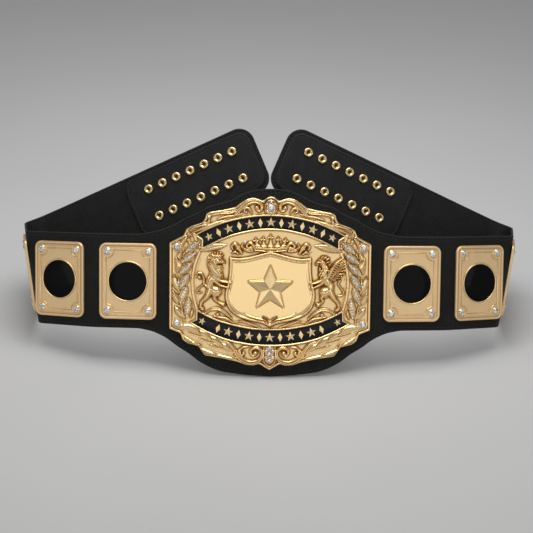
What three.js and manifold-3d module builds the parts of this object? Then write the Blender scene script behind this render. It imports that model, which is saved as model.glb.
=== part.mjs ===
// A championship title belt in millimetres, +Z up, standing on its lower edge as on a table.
// The leather strap is one flat pattern, bent round straight rulings, so it never stretches.
// Everything else is placed on it by how far along the strap (s), how far up (v) and how far
// out of its outer face (h) it lies. s is 0 at the middle of the main plate.

import * as THREE from 'three';
import { mergeVertices } from 'three/addons/utils/BufferGeometryUtils.js';
import Module from 'manifold-3d';

const wasm = await Module();
wasm.setup();

// Clearance between pieces that rest on each other, and how far fused forms sink in
const SEAT_GAP = 0.3;
const SINK = 0.6;

// Main plate
const MAIN_WIDTH = 252;
const MAIN_HEIGHT = 217;
const MAIN_THICKNESS = 3;
const MAIN_RIM_WIDTH = 3.2;
const MAIN_RIM_RISE = 1.6;

// Side plates
const SIDE_WIDTH = 73.5;
const SIDE_HEIGHT = 96;
const SIDE_THICKNESS = 2.6;
const SIDE_CORNER_RADIUS = 9;
const SIDE_RIM_WIDTH = 3.4;
const SIDE_RIM_RISE = 0.9;
const SIDE_DISC_DIAMETER = 48;
const SIDE_DISC_RECESS = 1.2;
const SIDE_RING_WIDTH = 1.6;
const SIDE_STONE_INSET = 10.5;

// Leather strap: its edge keeps a margin round the plates, and its lobe runs out past the
// main plate on each side.
const STRAP_THICKNESS = 3;
const STRAP_MARGIN = 11.5;
const LOBE_MARGIN = 9.5;
const LOBE_RUNOUT = 38.5;
const TAIL_HEIGHT = 94;
const TAIL_CORNER_RADIUS = 22;
const TAIL_LEAD = 80;

// Bare strap between the plates, and the bends behind the last one
const FIRST_GAP = 16;
const SECOND_GAP = 20.5;
const THIRD_GAP = 14;
const END_BEND = 49.5;
const END_EASING = 50;

// Snap fasteners
const SNAP_COLUMNS = 7;
const SNAP_SPACING = 21;
const SNAP_ROW_SPACING = 39.5;
const SNAP_DIAMETER = 13;
const SNAP_POST_DIAMETER = 4.6;
const SNAP_SOCKET_HEIGHT = 2.2;
const SNAP_CAP_HEIGHT = 2;
const SNAP_HOLE_CLEARANCE = 0.3;

// Leather patch under the snaps
const PATCH_THICKNESS = 2;
const PATCH_INSET = 6;
const PATCH_END_MARGIN = 28;
const PATCH_LEAD_MARGIN = 32;
const PATCH_CORNER_RADIUS = 16;

// Stones and the round seats that hold them
const STONE_DIAMETER = 8;
const STONE_HEIGHT = 2.2;
const STONE_SEAT_WALL = 1.2;
const STONE_SEAT_HEIGHT = 1.1;

// Black-filled banners above and below the middle of the main plate
const BANNER_FRAME = 1.8;
const BANNER_RISE = 2;
const BANNER_FILL_DROP = 0.5;
const BANNER_POCKET_FLOOR = 0.3;

// Shield, its star and its crown
const SHIELD_RISE = 2.4;
const SHIELD_BORDER_WIDTH = 3;
const SHIELD_BORDER_RISE = 1.3;
const STAR_RADIUS = 27;
const STAR_RISE = 1.5;
const CROWN_RISE = 2.6;

// Supporters, leaves and scrolls round the shield
const FIGURE_WIDTH = 20;
const FIGURE_RISE = 6;
const LEAF_WIDTH = 10;
const LEAF_RISE = 2.6;
const SCROLL_WIDTH = 6;
const SCROLL_RISE = 3;
const SCROLL_EYE = 14;

const STRAP_HEIGHT = SIDE_HEIGHT + 2 * STRAP_MARGIN;
const LOBE_HEIGHT = MAIN_HEIGHT + 2 * LOBE_MARGIN;
const LOBE_LENGTH = MAIN_WIDTH + 2 * LOBE_RUNOUT;
const PATCH_LENGTH = PATCH_END_MARGIN + (SNAP_COLUMNS - 1) * SNAP_SPACING + PATCH_LEAD_MARGIN;
const PATCH_HEIGHT = TAIL_HEIGHT - 2 * PATCH_INSET;
const STONE_SEAT_DIAMETER = STONE_DIAMETER + 2 * STONE_SEAT_WALL;

// One half of the strap, from its middle to its tail end. turn is how far the strap bends
// backwards over the zone, and tilt is how far its rulings lean at the zone's end, in degrees.
const ZONES = [
  { zone: 'main', length: MAIN_WIDTH / 2, turn: 4.2, tilt: 0 },
  { zone: 'first gap', length: FIRST_GAP, turn: 2.9, tilt: 0 },
  { zone: 'side 1', length: SIDE_WIDTH, turn: 0, tilt: 0 },
  { zone: 'second gap', length: SECOND_GAP, turn: 18, tilt: 0 },
  { zone: 'side 2', length: SIDE_WIDTH, turn: 0, tilt: 9.8 },
  { zone: 'third gap', length: THIRD_GAP, turn: 54.5, tilt: 9.8 },
  { zone: 'side 3', length: SIDE_WIDTH, turn: 0, tilt: 13.7 },
  { zone: 'end bend', length: END_BEND, turn: 110.6, tilt: 13.7 },
  { zone: 'easing', length: END_EASING, turn: 3.1, tilt: 13.7 },
  { zone: 'lead', length: TAIL_LEAD, turn: 0, tilt: 0 },
  { zone: 'patch', length: PATCH_LENGTH + PATCH_INSET, turn: 0, tilt: 0 },
];
const HALF_LENGTH = ZONES.reduce((sum, { length }) => sum + length, 0);

function zoneStart(name) {
  const index = ZONES.findIndex(({ zone }) => zone === name);
  return ZONES.slice(0, index).reduce((sum, { length }) => sum + length, 0);
}

// The strap's edge round the main plate: along is a share of half the lobe's length, and
// rise a share of how far the lobe stands past the strap's straight edge.
const LOBE_TOP = [
  { along: 0, rise: 1 },
  { along: 0.12, rise: 0.98 },
  { along: 0.23, rise: 0.87 },
  { along: 0.29, rise: 0.75 },
  { along: 0.48, rise: 0.61 },
  { along: 0.55, rise: 0.47 },
  { along: 0.66, rise: 0.35 },
  { along: 0.71, rise: 0.24 },
  { along: 0.84, rise: 0.09 },
  { along: 1, rise: 0 },
];
const LOBE_BOTTOM = [
  { along: 0, rise: 1 },
  { along: 0.18, rise: 0.97 },
  { along: 0.37, rise: 0.9 },
  { along: 0.46, rise: 0.81 },
  { along: 0.55, rise: 0.67 },
  { along: 0.61, rise: 0.53 },
  { along: 0.7, rise: 0.38 },
  { along: 0.79, rise: 0.19 },
  { along: 0.89, rise: 0.06 },
  { along: 1, rise: 0 },
];

// Main plate. In these tables x is a share of half its width and z of half its height.
const PLATE_TOP = [
  { x: 0, z: 1 },
  { x: 0.09, z: 0.935 },
  { x: 0.165, z: 0.985 },
  { x: 0.235, z: 0.965 },
  { x: 0.39, z: 0.85 },
  { x: 0.6, z: 0.805 },
  { x: 0.66, z: 0.72 },
  { x: 0.79, z: 0.67 },
  { x: 0.855, z: 0.57 },
  { x: 1, z: 0.46 },
];
const PLATE_BOTTOM = [
  { x: 0, z: -1 },
  { x: 0.07, z: -0.945 },
  { x: 0.305, z: -0.925 },
  { x: 0.585, z: -0.855 },
  { x: 0.66, z: -0.755 },
  { x: 0.795, z: -0.725 },
  { x: 0.87, z: -0.6 },
  { x: 1, z: -0.54 },
];
const SHIELD = [
  { x: 0, z: -0.48 },
  { x: 0.09, z: -0.43 },
  { x: 0.26, z: -0.37 },
  { x: 0.38, z: -0.28 },
  { x: 0.435, z: -0.17 },
  { x: 0.41, z: -0.03 },
  { x: 0.4, z: 0.14 },
  { x: 0.42, z: 0.3 },
  { x: 0.27, z: 0.28 },
  { x: 0.14, z: 0.305 },
  { x: 0, z: 0.37 },
];
const CROWN = [
  { x: 0, z: 0.35 },
  { x: 0.13, z: 0.385 },
  { x: 0.15, z: 0.5 },
  { x: 0.1, z: 0.45 },
  { x: 0.07, z: 0.54 },
  { x: 0.035, z: 0.46 },
  { x: 0, z: 0.57 },
];
const STAR_CENTRE = -0.06;

// crest is where a banner's upper edge crosses the middle, sag how far its ends fall, or
// rise where arch is -1, and notch how much of its reach is cut to a swallow tail.
const BANNERS = {
  top: { crest: 0.777, sag: 0.244, height: 0.156, reach: 0.748, notch: 0.07, arch: 1 },
  bottom: { crest: -0.546, sag: 0.21, height: 0.154, reach: 0.765, notch: 0.06, arch: -1 },
};

// Leaves, each from its foot to its tip. Left half, mirrored for the right.
const LEAVES = [
  { x: -0.81, z: 0.35, tipX: -0.71, tipZ: 0.48 },
  { x: -0.845, z: 0.205, tipX: -0.745, tipZ: 0.33 },
  { x: -0.89, z: 0.05, tipX: -0.785, tipZ: 0.19 },
  { x: -0.89, z: -0.1, tipX: -0.81, tipZ: 0.05 },
  { x: -0.865, z: -0.26, tipX: -0.81, tipZ: -0.09 },
  { x: -0.815, z: -0.42, tipX: -0.79, tipZ: -0.24 },
  { x: -0.905, z: 0.1, tipX: -0.945, tipZ: 0.28 },
  { x: -0.905, z: -0.09, tipX: -0.955, tipZ: 0.09 },
  { x: -0.87, z: -0.28, tipX: -0.955, tipZ: -0.11 },
  { x: -0.84, z: -0.54, tipX: -0.69, tipZ: -0.63 },
  { x: -0.64, z: -0.76, tipX: -0.43, tipZ: -0.77 },
];

// Scrolls, each a stem that runs over a knee to a round eye. size is a share of the largest.
const SCROLLS = [
  { x: -0.13, z: 0.865, kneeX: -0.24, kneeZ: 0.9, stemX: -0.37, stemZ: 0.81, size: 0.93 },
  { x: -0.15, z: -0.82, kneeX: -0.27, kneeZ: -0.84, stemX: -0.43, stemZ: -0.69, size: 1 },
  { x: -0.5, z: 0.74, kneeX: -0.41, kneeZ: 0.78, stemX: -0.33, stemZ: 0.78, size: 0.6 },
];

// The supporters, a lion on the left and a griffin on the right. Each form is a ridge through
// its rows, whose width and rise are shares of the figures' largest.
const FIGURES = {
  lionMane: [
    { x: -0.57, z: 0.3, width: 0.45, rise: 0.5 },
    { x: -0.535, z: 0.23, width: 0.85, rise: 1 },
    { x: -0.5, z: 0.19, width: 0.25, rise: 0.5 },
  ],
  lionBody: [
    { x: -0.56, z: 0.24, width: 0.6, rise: 0.5 },
    { x: -0.53, z: 0.1, width: 0.95, rise: 0.83 },
    { x: -0.58, z: -0.1, width: 0.65, rise: 0.67 },
  ],
  lionForeleg: [
    { x: -0.53, z: 0.08, width: 0.4, rise: 0.67 },
    { x: -0.46, z: 0.01, width: 0.3, rise: 0.67 },
    { x: -0.395, z: -0.04, width: 0.25, rise: 0.6 },
  ],
  lionHindLeg: [
    { x: -0.58, z: -0.08, width: 0.65, rise: 0.67 },
    { x: -0.65, z: -0.2, width: 0.4, rise: 0.6 },
    { x: -0.64, z: -0.29, width: 0.2, rise: 0.5 },
  ],
  lionNearLeg: [
    { x: -0.56, z: -0.1, width: 0.6, rise: 0.67 },
    { x: -0.5, z: -0.19, width: 0.35, rise: 0.6 },
    { x: -0.49, z: -0.27, width: 0.2, rise: 0.5 },
  ],
  lionTail: [
    { x: -0.62, z: -0.14, width: 0.2, rise: 0.4 },
    { x: -0.73, z: -0.1, width: 0.15, rise: 0.4 },
    { x: -0.74, z: 0.04, width: 0.15, rise: 0.4 },
    { x: -0.66, z: 0.11, width: 0.2, rise: 0.4 },
  ],
  griffinHead: [
    { x: 0.45, z: 0.25, width: 0.2, rise: 0.5 },
    { x: 0.53, z: 0.25, width: 0.6, rise: 0.83 },
    { x: 0.57, z: 0.22, width: 0.3, rise: 0.5 },
  ],
  griffinBody: [
    { x: 0.53, z: 0.23, width: 0.45, rise: 0.67 },
    { x: 0.52, z: 0.1, width: 0.85, rise: 0.83 },
    { x: 0.58, z: -0.1, width: 0.65, rise: 0.67 },
  ],
  griffinForeleg: [
    { x: 0.52, z: 0.06, width: 0.4, rise: 0.67 },
    { x: 0.45, z: 0.01, width: 0.3, rise: 0.67 },
    { x: 0.4, z: -0.03, width: 0.25, rise: 0.6 },
  ],
  griffinHindLeg: [
    { x: 0.58, z: -0.08, width: 0.65, rise: 0.67 },
    { x: 0.65, z: -0.2, width: 0.4, rise: 0.6 },
    { x: 0.69, z: -0.31, width: 0.2, rise: 0.5 },
  ],
  griffinNearLeg: [
    { x: 0.56, z: -0.1, width: 0.6, rise: 0.67 },
    { x: 0.49, z: -0.19, width: 0.35, rise: 0.6 },
    { x: 0.48, z: -0.27, width: 0.2, rise: 0.5 },
  ],
  griffinWing: [
    { x: 0.57, z: 0.04, width: 0.4, rise: 0.5 },
    { x: 0.66, z: 0.14, width: 0.6, rise: 0.73 },
    { x: 0.725, z: 0.34, width: 0.15, rise: 0.33 },
  ],
  griffinFeathers: [
    { x: 0.57, z: 0.02, width: 0.4, rise: 0.5 },
    { x: 0.68, z: 0.07, width: 0.45, rise: 0.6 },
    { x: 0.74, z: 0.2, width: 0.15, rise: 0.33 },
  ],
  griffinTail: [
    { x: 0.62, z: -0.12, width: 0.2, rise: 0.4 },
    { x: 0.7, z: -0.14, width: 0.15, rise: 0.4 },
    { x: 0.735, z: -0.04, width: 0.15, rise: 0.4 },
    { x: 0.69, z: 0.01, width: 0.17, rise: 0.4 },
  ],
};

// Stones that lie in pockets in the main plate, and those fused with it, whose size is a
// share of the pocketed ones.
const CORNER_STONES = [
  { name: 'corner_stone_upper_left', x: -0.92, z: 0.415 },
  { name: 'corner_stone_upper_right', x: 0.92, z: 0.415 },
  { name: 'corner_stone_lower_left', x: -0.92, z: -0.475 },
  { name: 'corner_stone_lower_right', x: 0.92, z: -0.475 },
];
const SET_STONES = [
  { x: 0, z: 0.885, size: 1.12 },
  { x: 0, z: -0.755, size: 0.67 },
  { x: 0, z: -0.84, size: 0.8 },
  { x: 0, z: -0.925, size: 0.58 },
];

// How finely curves are cut
const STATION_STEP = 1;
const EDGE_PASSES = 4;
const DEGREES_PER_SECTION = 10;
const CORNER_SHARES = [0, 0.2, 0.4, 0.6, 0.8, 1];
const PLATE_FACETS = 8;
const BANNER_STEPS = 6;
const PLATE_CORNER_STEPS = 2;
const SNAP_SIDES = 8;
const HOLE_SIDES = 4;
const STONE_SIDES = 8;
const DISC_SIDES = 16;

// How far a cutter runs past what it cuts
const OVERRUN = 1;

// Interpolates linearly in a table whose rows rise in the column named by key.
function lookUp(table, key, column, value) {
  const after = table.findIndex((row) => row[key] > value);
  if (after < 0) return table[table.length - 1][column];
  const a = table[after - 1];
  const b = table[after];
  return THREE.MathUtils.mapLinear(value, a[key], b[key], a[column], b[column]);
}

// The strap's middle line. Each station holds its point, the direction along the strap, the
// direction across it, and the slope of the ruling there.
function layStations() {
  const point = new THREE.Vector3();
  const along = new THREE.Vector3(1, 0, 0);
  const across = new THREE.Vector3(0, 0, 1);
  const stations = [];
  const lay = (s, slope) =>
    stations.push({ s, point: point.clone(), along: along.clone(), across: across.clone(), slope });
  let s = 0;
  let tilt = 0;
  lay(s, tilt);
  for (const zone of ZONES) {
    const steps = Math.ceil(zone.length / STATION_STEP);
    const step = zone.length / steps;
    for (let i = 1; i <= steps; i++) {
      const leaning = THREE.MathUtils.degToRad(THREE.MathUtils.lerp(tilt, zone.tilt, i / steps));
      const slope = Math.tan(leaning);
      const ruling = across.clone().addScaledVector(along, slope).normalize();
      const turn = THREE.MathUtils.degToRad(zone.turn / steps) * Math.cos(leaning);
      const before = along.clone();
      along.applyAxisAngle(ruling, turn);
      across.applyAxisAngle(ruling, turn);
      point.addScaledVector(before.add(along).normalize(), step);
      s += step;
      lay(s, slope);
    }
    tilt = zone.tilt;
  }
  return stations;
}
const STATIONS = layStations();

// The strap's frame at s. The half with negative s is the mirror image of the other.
function frameAt(s) {
  const distance = Math.min(Math.abs(s), STATIONS[STATIONS.length - 1].s);
  const found = STATIONS.findIndex((station) => station.s >= distance);
  const i = Math.max(found, 1);
  const a = STATIONS[i - 1];
  const b = STATIONS[i];
  const share = (distance - a.s) / (b.s - a.s);
  const mirror = s < 0 ? -1 : 1;
  const point = a.point.clone().lerp(b.point, share);
  const along = a.along.clone().lerp(b.along, share).normalize();
  const across = a.across.clone().lerp(b.across, share).normalize();
  point.x *= mirror;
  along.set(along.x, along.y * mirror, along.z * mirror);
  across.x *= mirror;
  const out = new THREE.Vector3().crossVectors(along, across);
  return { point, along, across, out, slope: mirror * THREE.MathUtils.lerp(a.slope, b.slope, share) };
}

// The point v up the ruling that crosses the middle line at s, and h out of the outer face.
function strapPoint(s, v, h) {
  const { point, along, across, out, slope } = frameAt(s);
  return point
    .addScaledVector(across, v)
    .addScaledVector(along, v * slope)
    .addScaledVector(out, h);
}

// Moves what is made flat, with x along the strap, y up it and z out of it, to its place.
function strapMatrix(s, v, h) {
  const { point, along, across, out } = frameAt(s);
  point.addScaledVector(across, v).addScaledVector(out, h);
  return new THREE.Matrix4().makeBasis(along, across, out).setPosition(point);
}

// How far up an edge is on the ruling at s, where edge gives its height for a distance along
// the flat pattern.
function edgeOnRuling(s, edge) {
  const { slope } = frameAt(s);
  let v = edge(s);
  for (let pass = 0; pass < EDGE_PASSES; pass++) v = edge(s + v * slope);
  return v;
}

// Turns a closed geometry into a solid that can be joined and cut.
function solidOf(geometry) {
  const bare = new THREE.BufferGeometry();
  bare.setAttribute('position', geometry.getAttribute('position'));
  if (geometry.index) bare.setIndex(geometry.index);
  const merged = mergeVertices(bare, 1e-4);
  const corners = [];
  for (let i = 0; i < merged.index.count; i += 3) {
    const [a, b, c] = [0, 1, 2].map((k) => merged.index.getX(i + k));
    if (a !== b && b !== c && a !== c) corners.push(a, b, c);
  }
  const mesh = new wasm.Mesh({
    numProp: 3,
    vertProperties: new Float32Array(merged.attributes.position.array),
    triVerts: new Uint32Array(corners),
  });
  return new wasm.Manifold(mesh);
}

function geometryOf(solid) {
  const mesh = solid.getMesh();
  const geometry = new THREE.BufferGeometry();
  geometry.setAttribute('position', new THREE.BufferAttribute(mesh.vertProperties, 3));
  geometry.setIndex(new THREE.BufferAttribute(mesh.triVerts, 1));
  return geometry;
}

function joined(solids) {
  return solids.reduce((whole, solid) => whole.add(solid));
}

// The faces between rings of as many points, each ring joined to the next.
function ringFaces(count, size, closed) {
  const faces = [];
  const spans = closed ? count : count - 1;
  for (let r = 0; r < spans; r++) {
    for (let i = 0; i < size; i++) {
      const a = r * size + i;
      const b = r * size + ((i + 1) % size);
      const c = ((r + 1) % count) * size + i;
      const d = ((r + 1) % count) * size + ((i + 1) % size);
      faces.push(a, b, c, b, d, c);
    }
  }
  return faces;
}

// A solid through rings of points, closed on itself or by a flat fan at each end.
function loft(rings, closed = false) {
  const size = rings[0].length;
  const faces = ringFaces(rings.length, size, closed);
  const last = (rings.length - 1) * size;
  for (let i = 1; i + 1 < size && !closed; i++) {
    faces.push(0, i + 1, i, last, last + i, last + i + 1);
  }
  const geometry = new THREE.BufferGeometry().setFromPoints(rings.flat());
  return solidOf(geometry.setIndex(faces));
}

// A sheet on the strap, low and high at each s, from the height inner to the height outer.
function sheet(sections, inner, outer) {
  return loft(
    sections.map(({ s, low, high }) => [
      strapPoint(s, low, inner),
      strapPoint(s, high, inner),
      strapPoint(s, high, outer),
      strapPoint(s, low, outer),
    ]),
  );
}

// A solid of revolution about z, from rows of radius and height that start on the axis, run
// upwards on its outside and end on the axis.
function turned(profile, sides) {
  const points = profile.map(([radius, z]) => new THREE.Vector2(radius, z));
  return solidOf(new THREE.LatheGeometry(points, sides).rotateX(Math.PI / 2));
}

function cylinder(diameter, low, high, sides) {
  const radius = diameter / 2;
  return turned([[0, low], [radius, low], [radius, high], [0, high]], sides);
}

// Leather strap

const TAPER_START = zoneStart('end bend');
const TAPER_END = zoneStart('patch');
const TAIL_MIDDLE = (STRAP_HEIGHT - TAIL_HEIGHT) / 2;

// How much a rounded corner takes off an edge, at a distance from the end that it rounds.
function cornerCut(distance, radius) {
  if (distance >= radius) return 0;
  return radius - Math.sqrt(Math.max(radius ** 2 - (radius - distance) ** 2, 0));
}

// Distances from an end at which its rounded corner is cut into facets
function cornerSteps(radius) {
  return CORNER_SHARES.map((share) => radius * (1 - Math.cos((share * Math.PI) / 2)));
}

function strapEdge(s, lobe) {
  const along = Math.abs(s) / (LOBE_LENGTH / 2);
  const rise = (LOBE_HEIGHT - STRAP_HEIGHT) / 2;
  const corner = cornerCut(HALF_LENGTH - Math.abs(s), TAIL_CORNER_RADIUS);
  return STRAP_HEIGHT / 2 + rise * lookUp(lobe, 'along', 'rise', along) - corner;
}

function strapTop(s) {
  return strapEdge(s, LOBE_TOP);
}

// The lower edge also climbs where the strap narrows to its tail.
function strapBottom(s) {
  const taper = THREE.MathUtils.smoothstep(Math.abs(s), TAPER_START, TAPER_END);
  return (STRAP_HEIGHT - TAIL_HEIGHT) * taper - strapEdge(s, LOBE_BOTTOM);
}

function strapSections() {
  const lobes = [...LOBE_TOP, ...LOBE_BOTTOM].map(({ along }) => (along * LOBE_LENGTH) / 2);
  const bends = ZONES.flatMap(({ zone, length, turn }) => {
    const pieces = Math.max(1, Math.round(turn / DEGREES_PER_SECTION));
    return Array.from({ length: pieces }, (_, i) => zoneStart(zone) + (length * i) / pieces);
  });
  const taper = [0.25, 0.5, 0.75].map((share) => THREE.MathUtils.lerp(TAPER_START, TAPER_END, share));
  const tailEnd = cornerSteps(TAIL_CORNER_RADIUS).map((step) => HALF_LENGTH - step);
  const half = [...lobes, ...bends, ...taper, ...tailEnd].map((s) => Number(s.toFixed(3)));
  const places = [...new Set([...half, ...half.filter((s) => s > 0).map((s) => -s)])];
  return places
    .sort((a, b) => a - b)
    .map((s) => ({ s, low: edgeOnRuling(s, strapBottom), high: edgeOnRuling(s, strapTop) }));
}

function strapSolid() {
  return sheet(strapSections(), -STRAP_THICKNESS, 0);
}

// Snap patches, on the inner face of each tail

const SIDES = { left: -1, right: 1 };
const PATCH_FACE = -STRAP_THICKNESS - SEAT_GAP - PATCH_THICKNESS;

function patchSolid(sign) {
  const far = HALF_LENGTH - PATCH_INSET;
  const near = far - PATCH_LENGTH;
  const steps = cornerSteps(PATCH_CORNER_RADIUS);
  const distances = [...steps.map((step) => near + step), ...steps.map((step) => far - step)];
  const sections = distances.map((distance) => {
    const corner = cornerCut(Math.min(distance - near, far - distance), PATCH_CORNER_RADIUS);
    const half = PATCH_HEIGHT / 2 - corner;
    return { s: sign * distance, low: TAIL_MIDDLE - half, high: TAIL_MIDDLE + half };
  });
  sections.sort((a, b) => a.s - b.s);
  return sheet(sections, PATCH_FACE, PATCH_FACE + PATCH_THICKNESS);
}

// Snaps, made with z out of the strap's inner face and 0 at the patch's face

const SNAP_ROWS = {
  upper: TAIL_MIDDLE + SNAP_ROW_SPACING / 2,
  lower: TAIL_MIDDLE - SNAP_ROW_SPACING / 2,
};
const SNAP_CAP_FACE = PATCH_FACE - SEAT_GAP;
const SNAP_CAP_TOP = 0.62;
const SNAP_SOCKET_CREST = 0.64;

function snapPlaces() {
  const places = [];
  for (const [side, sign] of Object.entries(SIDES)) {
    for (const [row, v] of Object.entries(SNAP_ROWS)) {
      for (let column = 0; column < SNAP_COLUMNS; column++) {
        const s = HALF_LENGTH - PATCH_INSET - PATCH_END_MARGIN - column * SNAP_SPACING;
        places.push({ name: `snap_${side}_${row}_${column + 1}`, s: sign * s, v });
      }
    }
  }
  return places;
}

function snapMatrix({ s, v }) {
  return strapMatrix(s, v, PATCH_FACE).multiply(new THREE.Matrix4().makeRotationX(Math.PI));
}

// Cap on the outer face, post through both leathers, and socket on the patch
function snapSolid() {
  const rim = SNAP_DIAMETER / 2;
  const post = SNAP_POST_DIAMETER / 2;
  const top = SEAT_GAP + SNAP_SOCKET_HEIGHT;
  return turned(
    [
      [0, SNAP_CAP_FACE - SNAP_CAP_HEIGHT],
      [rim * SNAP_CAP_TOP, SNAP_CAP_FACE - SNAP_CAP_HEIGHT],
      [rim, SNAP_CAP_FACE],
      [post, SNAP_CAP_FACE],
      [post, SEAT_GAP],
      [rim, SEAT_GAP],
      [rim * SNAP_SOCKET_CREST, top],
      [0, SEAT_GAP],
    ],
    SNAP_SIDES,
  );
}

// A hole's corners stand out far enough for its flats to clear the post.
function snapHole(place) {
  const clear = SNAP_POST_DIAMETER + 2 * SNAP_HOLE_CLEARANCE;
  const diameter = clear / Math.cos(Math.PI / HOLE_SIDES);
  const drill = cylinder(diameter, PATCH_FACE - OVERRUN, OVERRUN, HOLE_SIDES);
  return drill.transform(snapMatrix(place).elements);
}

// Main plate

const FIELD = SEAT_GAP + MAIN_THICKNESS;

const plateX = (x) => (x * MAIN_WIDTH) / 2;
const plateZ = (z) => (z * MAIN_HEIGHT) / 2;

// A closed outline from the right half of one, which starts and ends in the middle.
function mirrored(half) {
  const left = half.slice(1, -1).reverse().map(({ x, z }) => ({ x: -x, z }));
  return [...half, ...left].map(({ x, z }) => new THREE.Vector2(plateX(x), plateZ(z)));
}

const PLATE_OUTLINE = mirrored([...PLATE_BOTTOM, ...PLATE_TOP.toReversed()]);
const SHIELD_OUTLINE = mirrored(SHIELD);

// An outline moved inwards by a distance, with mitred corners.
function inset(outline, distance) {
  return outline.map((corner, i) => {
    const before = outline[(i + outline.length - 1) % outline.length];
    const after = outline[(i + 1) % outline.length];
    const a = corner.clone().sub(before).normalize();
    const b = after.clone().sub(corner).normalize();
    const inwards = new THREE.Vector2(-a.y - b.y, a.x + b.x);
    return corner.clone().addScaledVector(inwards, distance / (1 + a.dot(b)));
  });
}

// The casting's bare body: a slab bent with the strap, cut to the plate's outline.
function plateBody() {
  const half = MAIN_WIDTH / 2;
  const slab = sheet(
    Array.from({ length: PLATE_FACETS + 1 }, (_, i) => ({
      s: half * ((2 * i) / PLATE_FACETS - 1),
      low: -MAIN_HEIGHT / 2 - OVERRUN,
      high: MAIN_HEIGHT / 2 + OVERRUN,
    })),
    SEAT_GAP,
    FIELD,
  );
  const prism = new THREE.ExtrudeGeometry(new THREE.Shape(PLATE_OUTLINE), {
    depth: MAIN_WIDTH,
    bevelEnabled: false,
  });
  return slab.intersect(solidOf(prism.translate(0, 0, -half).rotateX(Math.PI / 2)));
}

// A raised border, from an outline to a distance inside it.
function border(outline, width, foot, top) {
  const inner = inset(outline, width);
  const at = ({ x, y }, h) => strapPoint(x, y, h);
  const rings = outline.map((corner, i) => [
    at(corner, foot),
    at(inner[i], foot),
    at(inner[i], top),
    at(corner, top),
  ]);
  return loft(rings, true);
}

// A flat-topped form with a closed outline, from the height foot to the height top.
function raised(outline, foot, top) {
  const geometry = new THREE.ExtrudeGeometry(new THREE.Shape(outline), {
    depth: top - foot,
    bevelEnabled: false,
  });
  const position = geometry.getAttribute('position');
  for (let i = 0; i < position.count; i++) {
    const placed = strapPoint(position.getX(i), position.getY(i), foot + position.getZ(i));
    position.setXYZ(i, placed.x, placed.y, placed.z);
  }
  return solidOf(geometry);
}

// A ridge through rows that hold their place, their width and the rise of their crest.
function ridge(rows, mirror = 1) {
  const line = rows.map(({ x, z }) => new THREE.Vector2(plateX(x * mirror), plateZ(z)));
  const rings = rows.map(({ width, rise }, i) => {
    const before = line[Math.max(i - 1, 0)];
    const after = line[Math.min(i + 1, line.length - 1)];
    const ahead = after.clone().sub(before).normalize();
    const side = new THREE.Vector2(-ahead.y, ahead.x).multiplyScalar(width / 2);
    const left = line[i].clone().add(side);
    const right = line[i].clone().sub(side);
    return [
      strapPoint(left.x, left.y, FIELD - SINK),
      strapPoint(line[i].x, line[i].y, FIELD + rise),
      strapPoint(right.x, right.y, FIELD - SINK),
    ];
  });
  return loft(rings);
}

function onPlate(solid, x, z, h = FIELD) {
  return solid.transform(strapMatrix(plateX(x), plateZ(z), h).elements);
}

// A banner from end to end: its body between two arcs, then the long point of each tail.
// grow widens it all round.
function bannerSections({ crest, sag, height, reach, notch, arch }, grow) {
  const end = plateX(reach);
  const body = Array.from({ length: BANNER_STEPS + 1 }, (_, i) => {
    const s = (end * (1 - notch) * i) / BANNER_STEPS;
    const upper = plateZ(crest - arch * sag * (s / end) ** 2);
    return { s, high: upper + grow, low: upper - plateZ(height) - grow };
  });
  const last = body[body.length - 1];
  const cheek = { ...last, s: last.s + grow + SEAT_GAP + SINK };
  const tip = { ...last, s: end + grow };
  const cheekHeight = plateZ(height) / 3 + 2 * grow;
  const tipHeight = grow + SEAT_GAP + SINK;
  if (arch > 0) {
    cheek.low = last.high - cheekHeight;
    tip.low = last.high - tipHeight;
  } else {
    cheek.high = last.low + cheekHeight;
    tip.high = last.low + tipHeight;
  }
  const half = [...body, cheek, tip];
  const left = half.slice(1).reverse().map((row) => ({ ...row, s: -row.s }));
  return [...left, ...half];
}

function bannerFrame(banner) {
  return sheet(bannerSections(banner, BANNER_FRAME), FIELD - SINK, FIELD + BANNER_RISE);
}

function bannerPocket(banner) {
  const floor = FIELD + BANNER_POCKET_FLOOR;
  return sheet(bannerSections(banner, 0), floor, FIELD + FIGURE_RISE + OVERRUN);
}

function bannerFill(banner) {
  const floor = FIELD + BANNER_POCKET_FLOOR + SEAT_GAP;
  return sheet(bannerSections(banner, -SEAT_GAP), floor, FIELD + BANNER_RISE - BANNER_FILL_DROP);
}

function starOutline() {
  const points = 5;
  const waist = 0.42;
  return Array.from({ length: 2 * points }, (_, i) => {
    const angle = Math.PI / 2 + (i * Math.PI) / points;
    const reach = i % 2 ? STAR_RADIUS * waist : STAR_RADIUS;
    return new THREE.Vector2(reach * Math.cos(angle), plateZ(STAR_CENTRE) + reach * Math.sin(angle));
  });
}

function shieldSolids() {
  const face = FIELD + SHIELD_RISE;
  return [
    raised(SHIELD_OUTLINE, FIELD - SINK, face),
    border(SHIELD_OUTLINE, SHIELD_BORDER_WIDTH, face - SINK, face + SHIELD_BORDER_RISE),
    raised(starOutline(), face - SINK, face + STAR_RISE),
    raised(mirrored(CROWN), FIELD - SINK, FIELD + CROWN_RISE),
  ];
}

function figureSolid(rows) {
  return ridge(
    rows.map((row) => ({ ...row, width: row.width * FIGURE_WIDTH, rise: row.rise * FIGURE_RISE })),
  );
}

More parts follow.
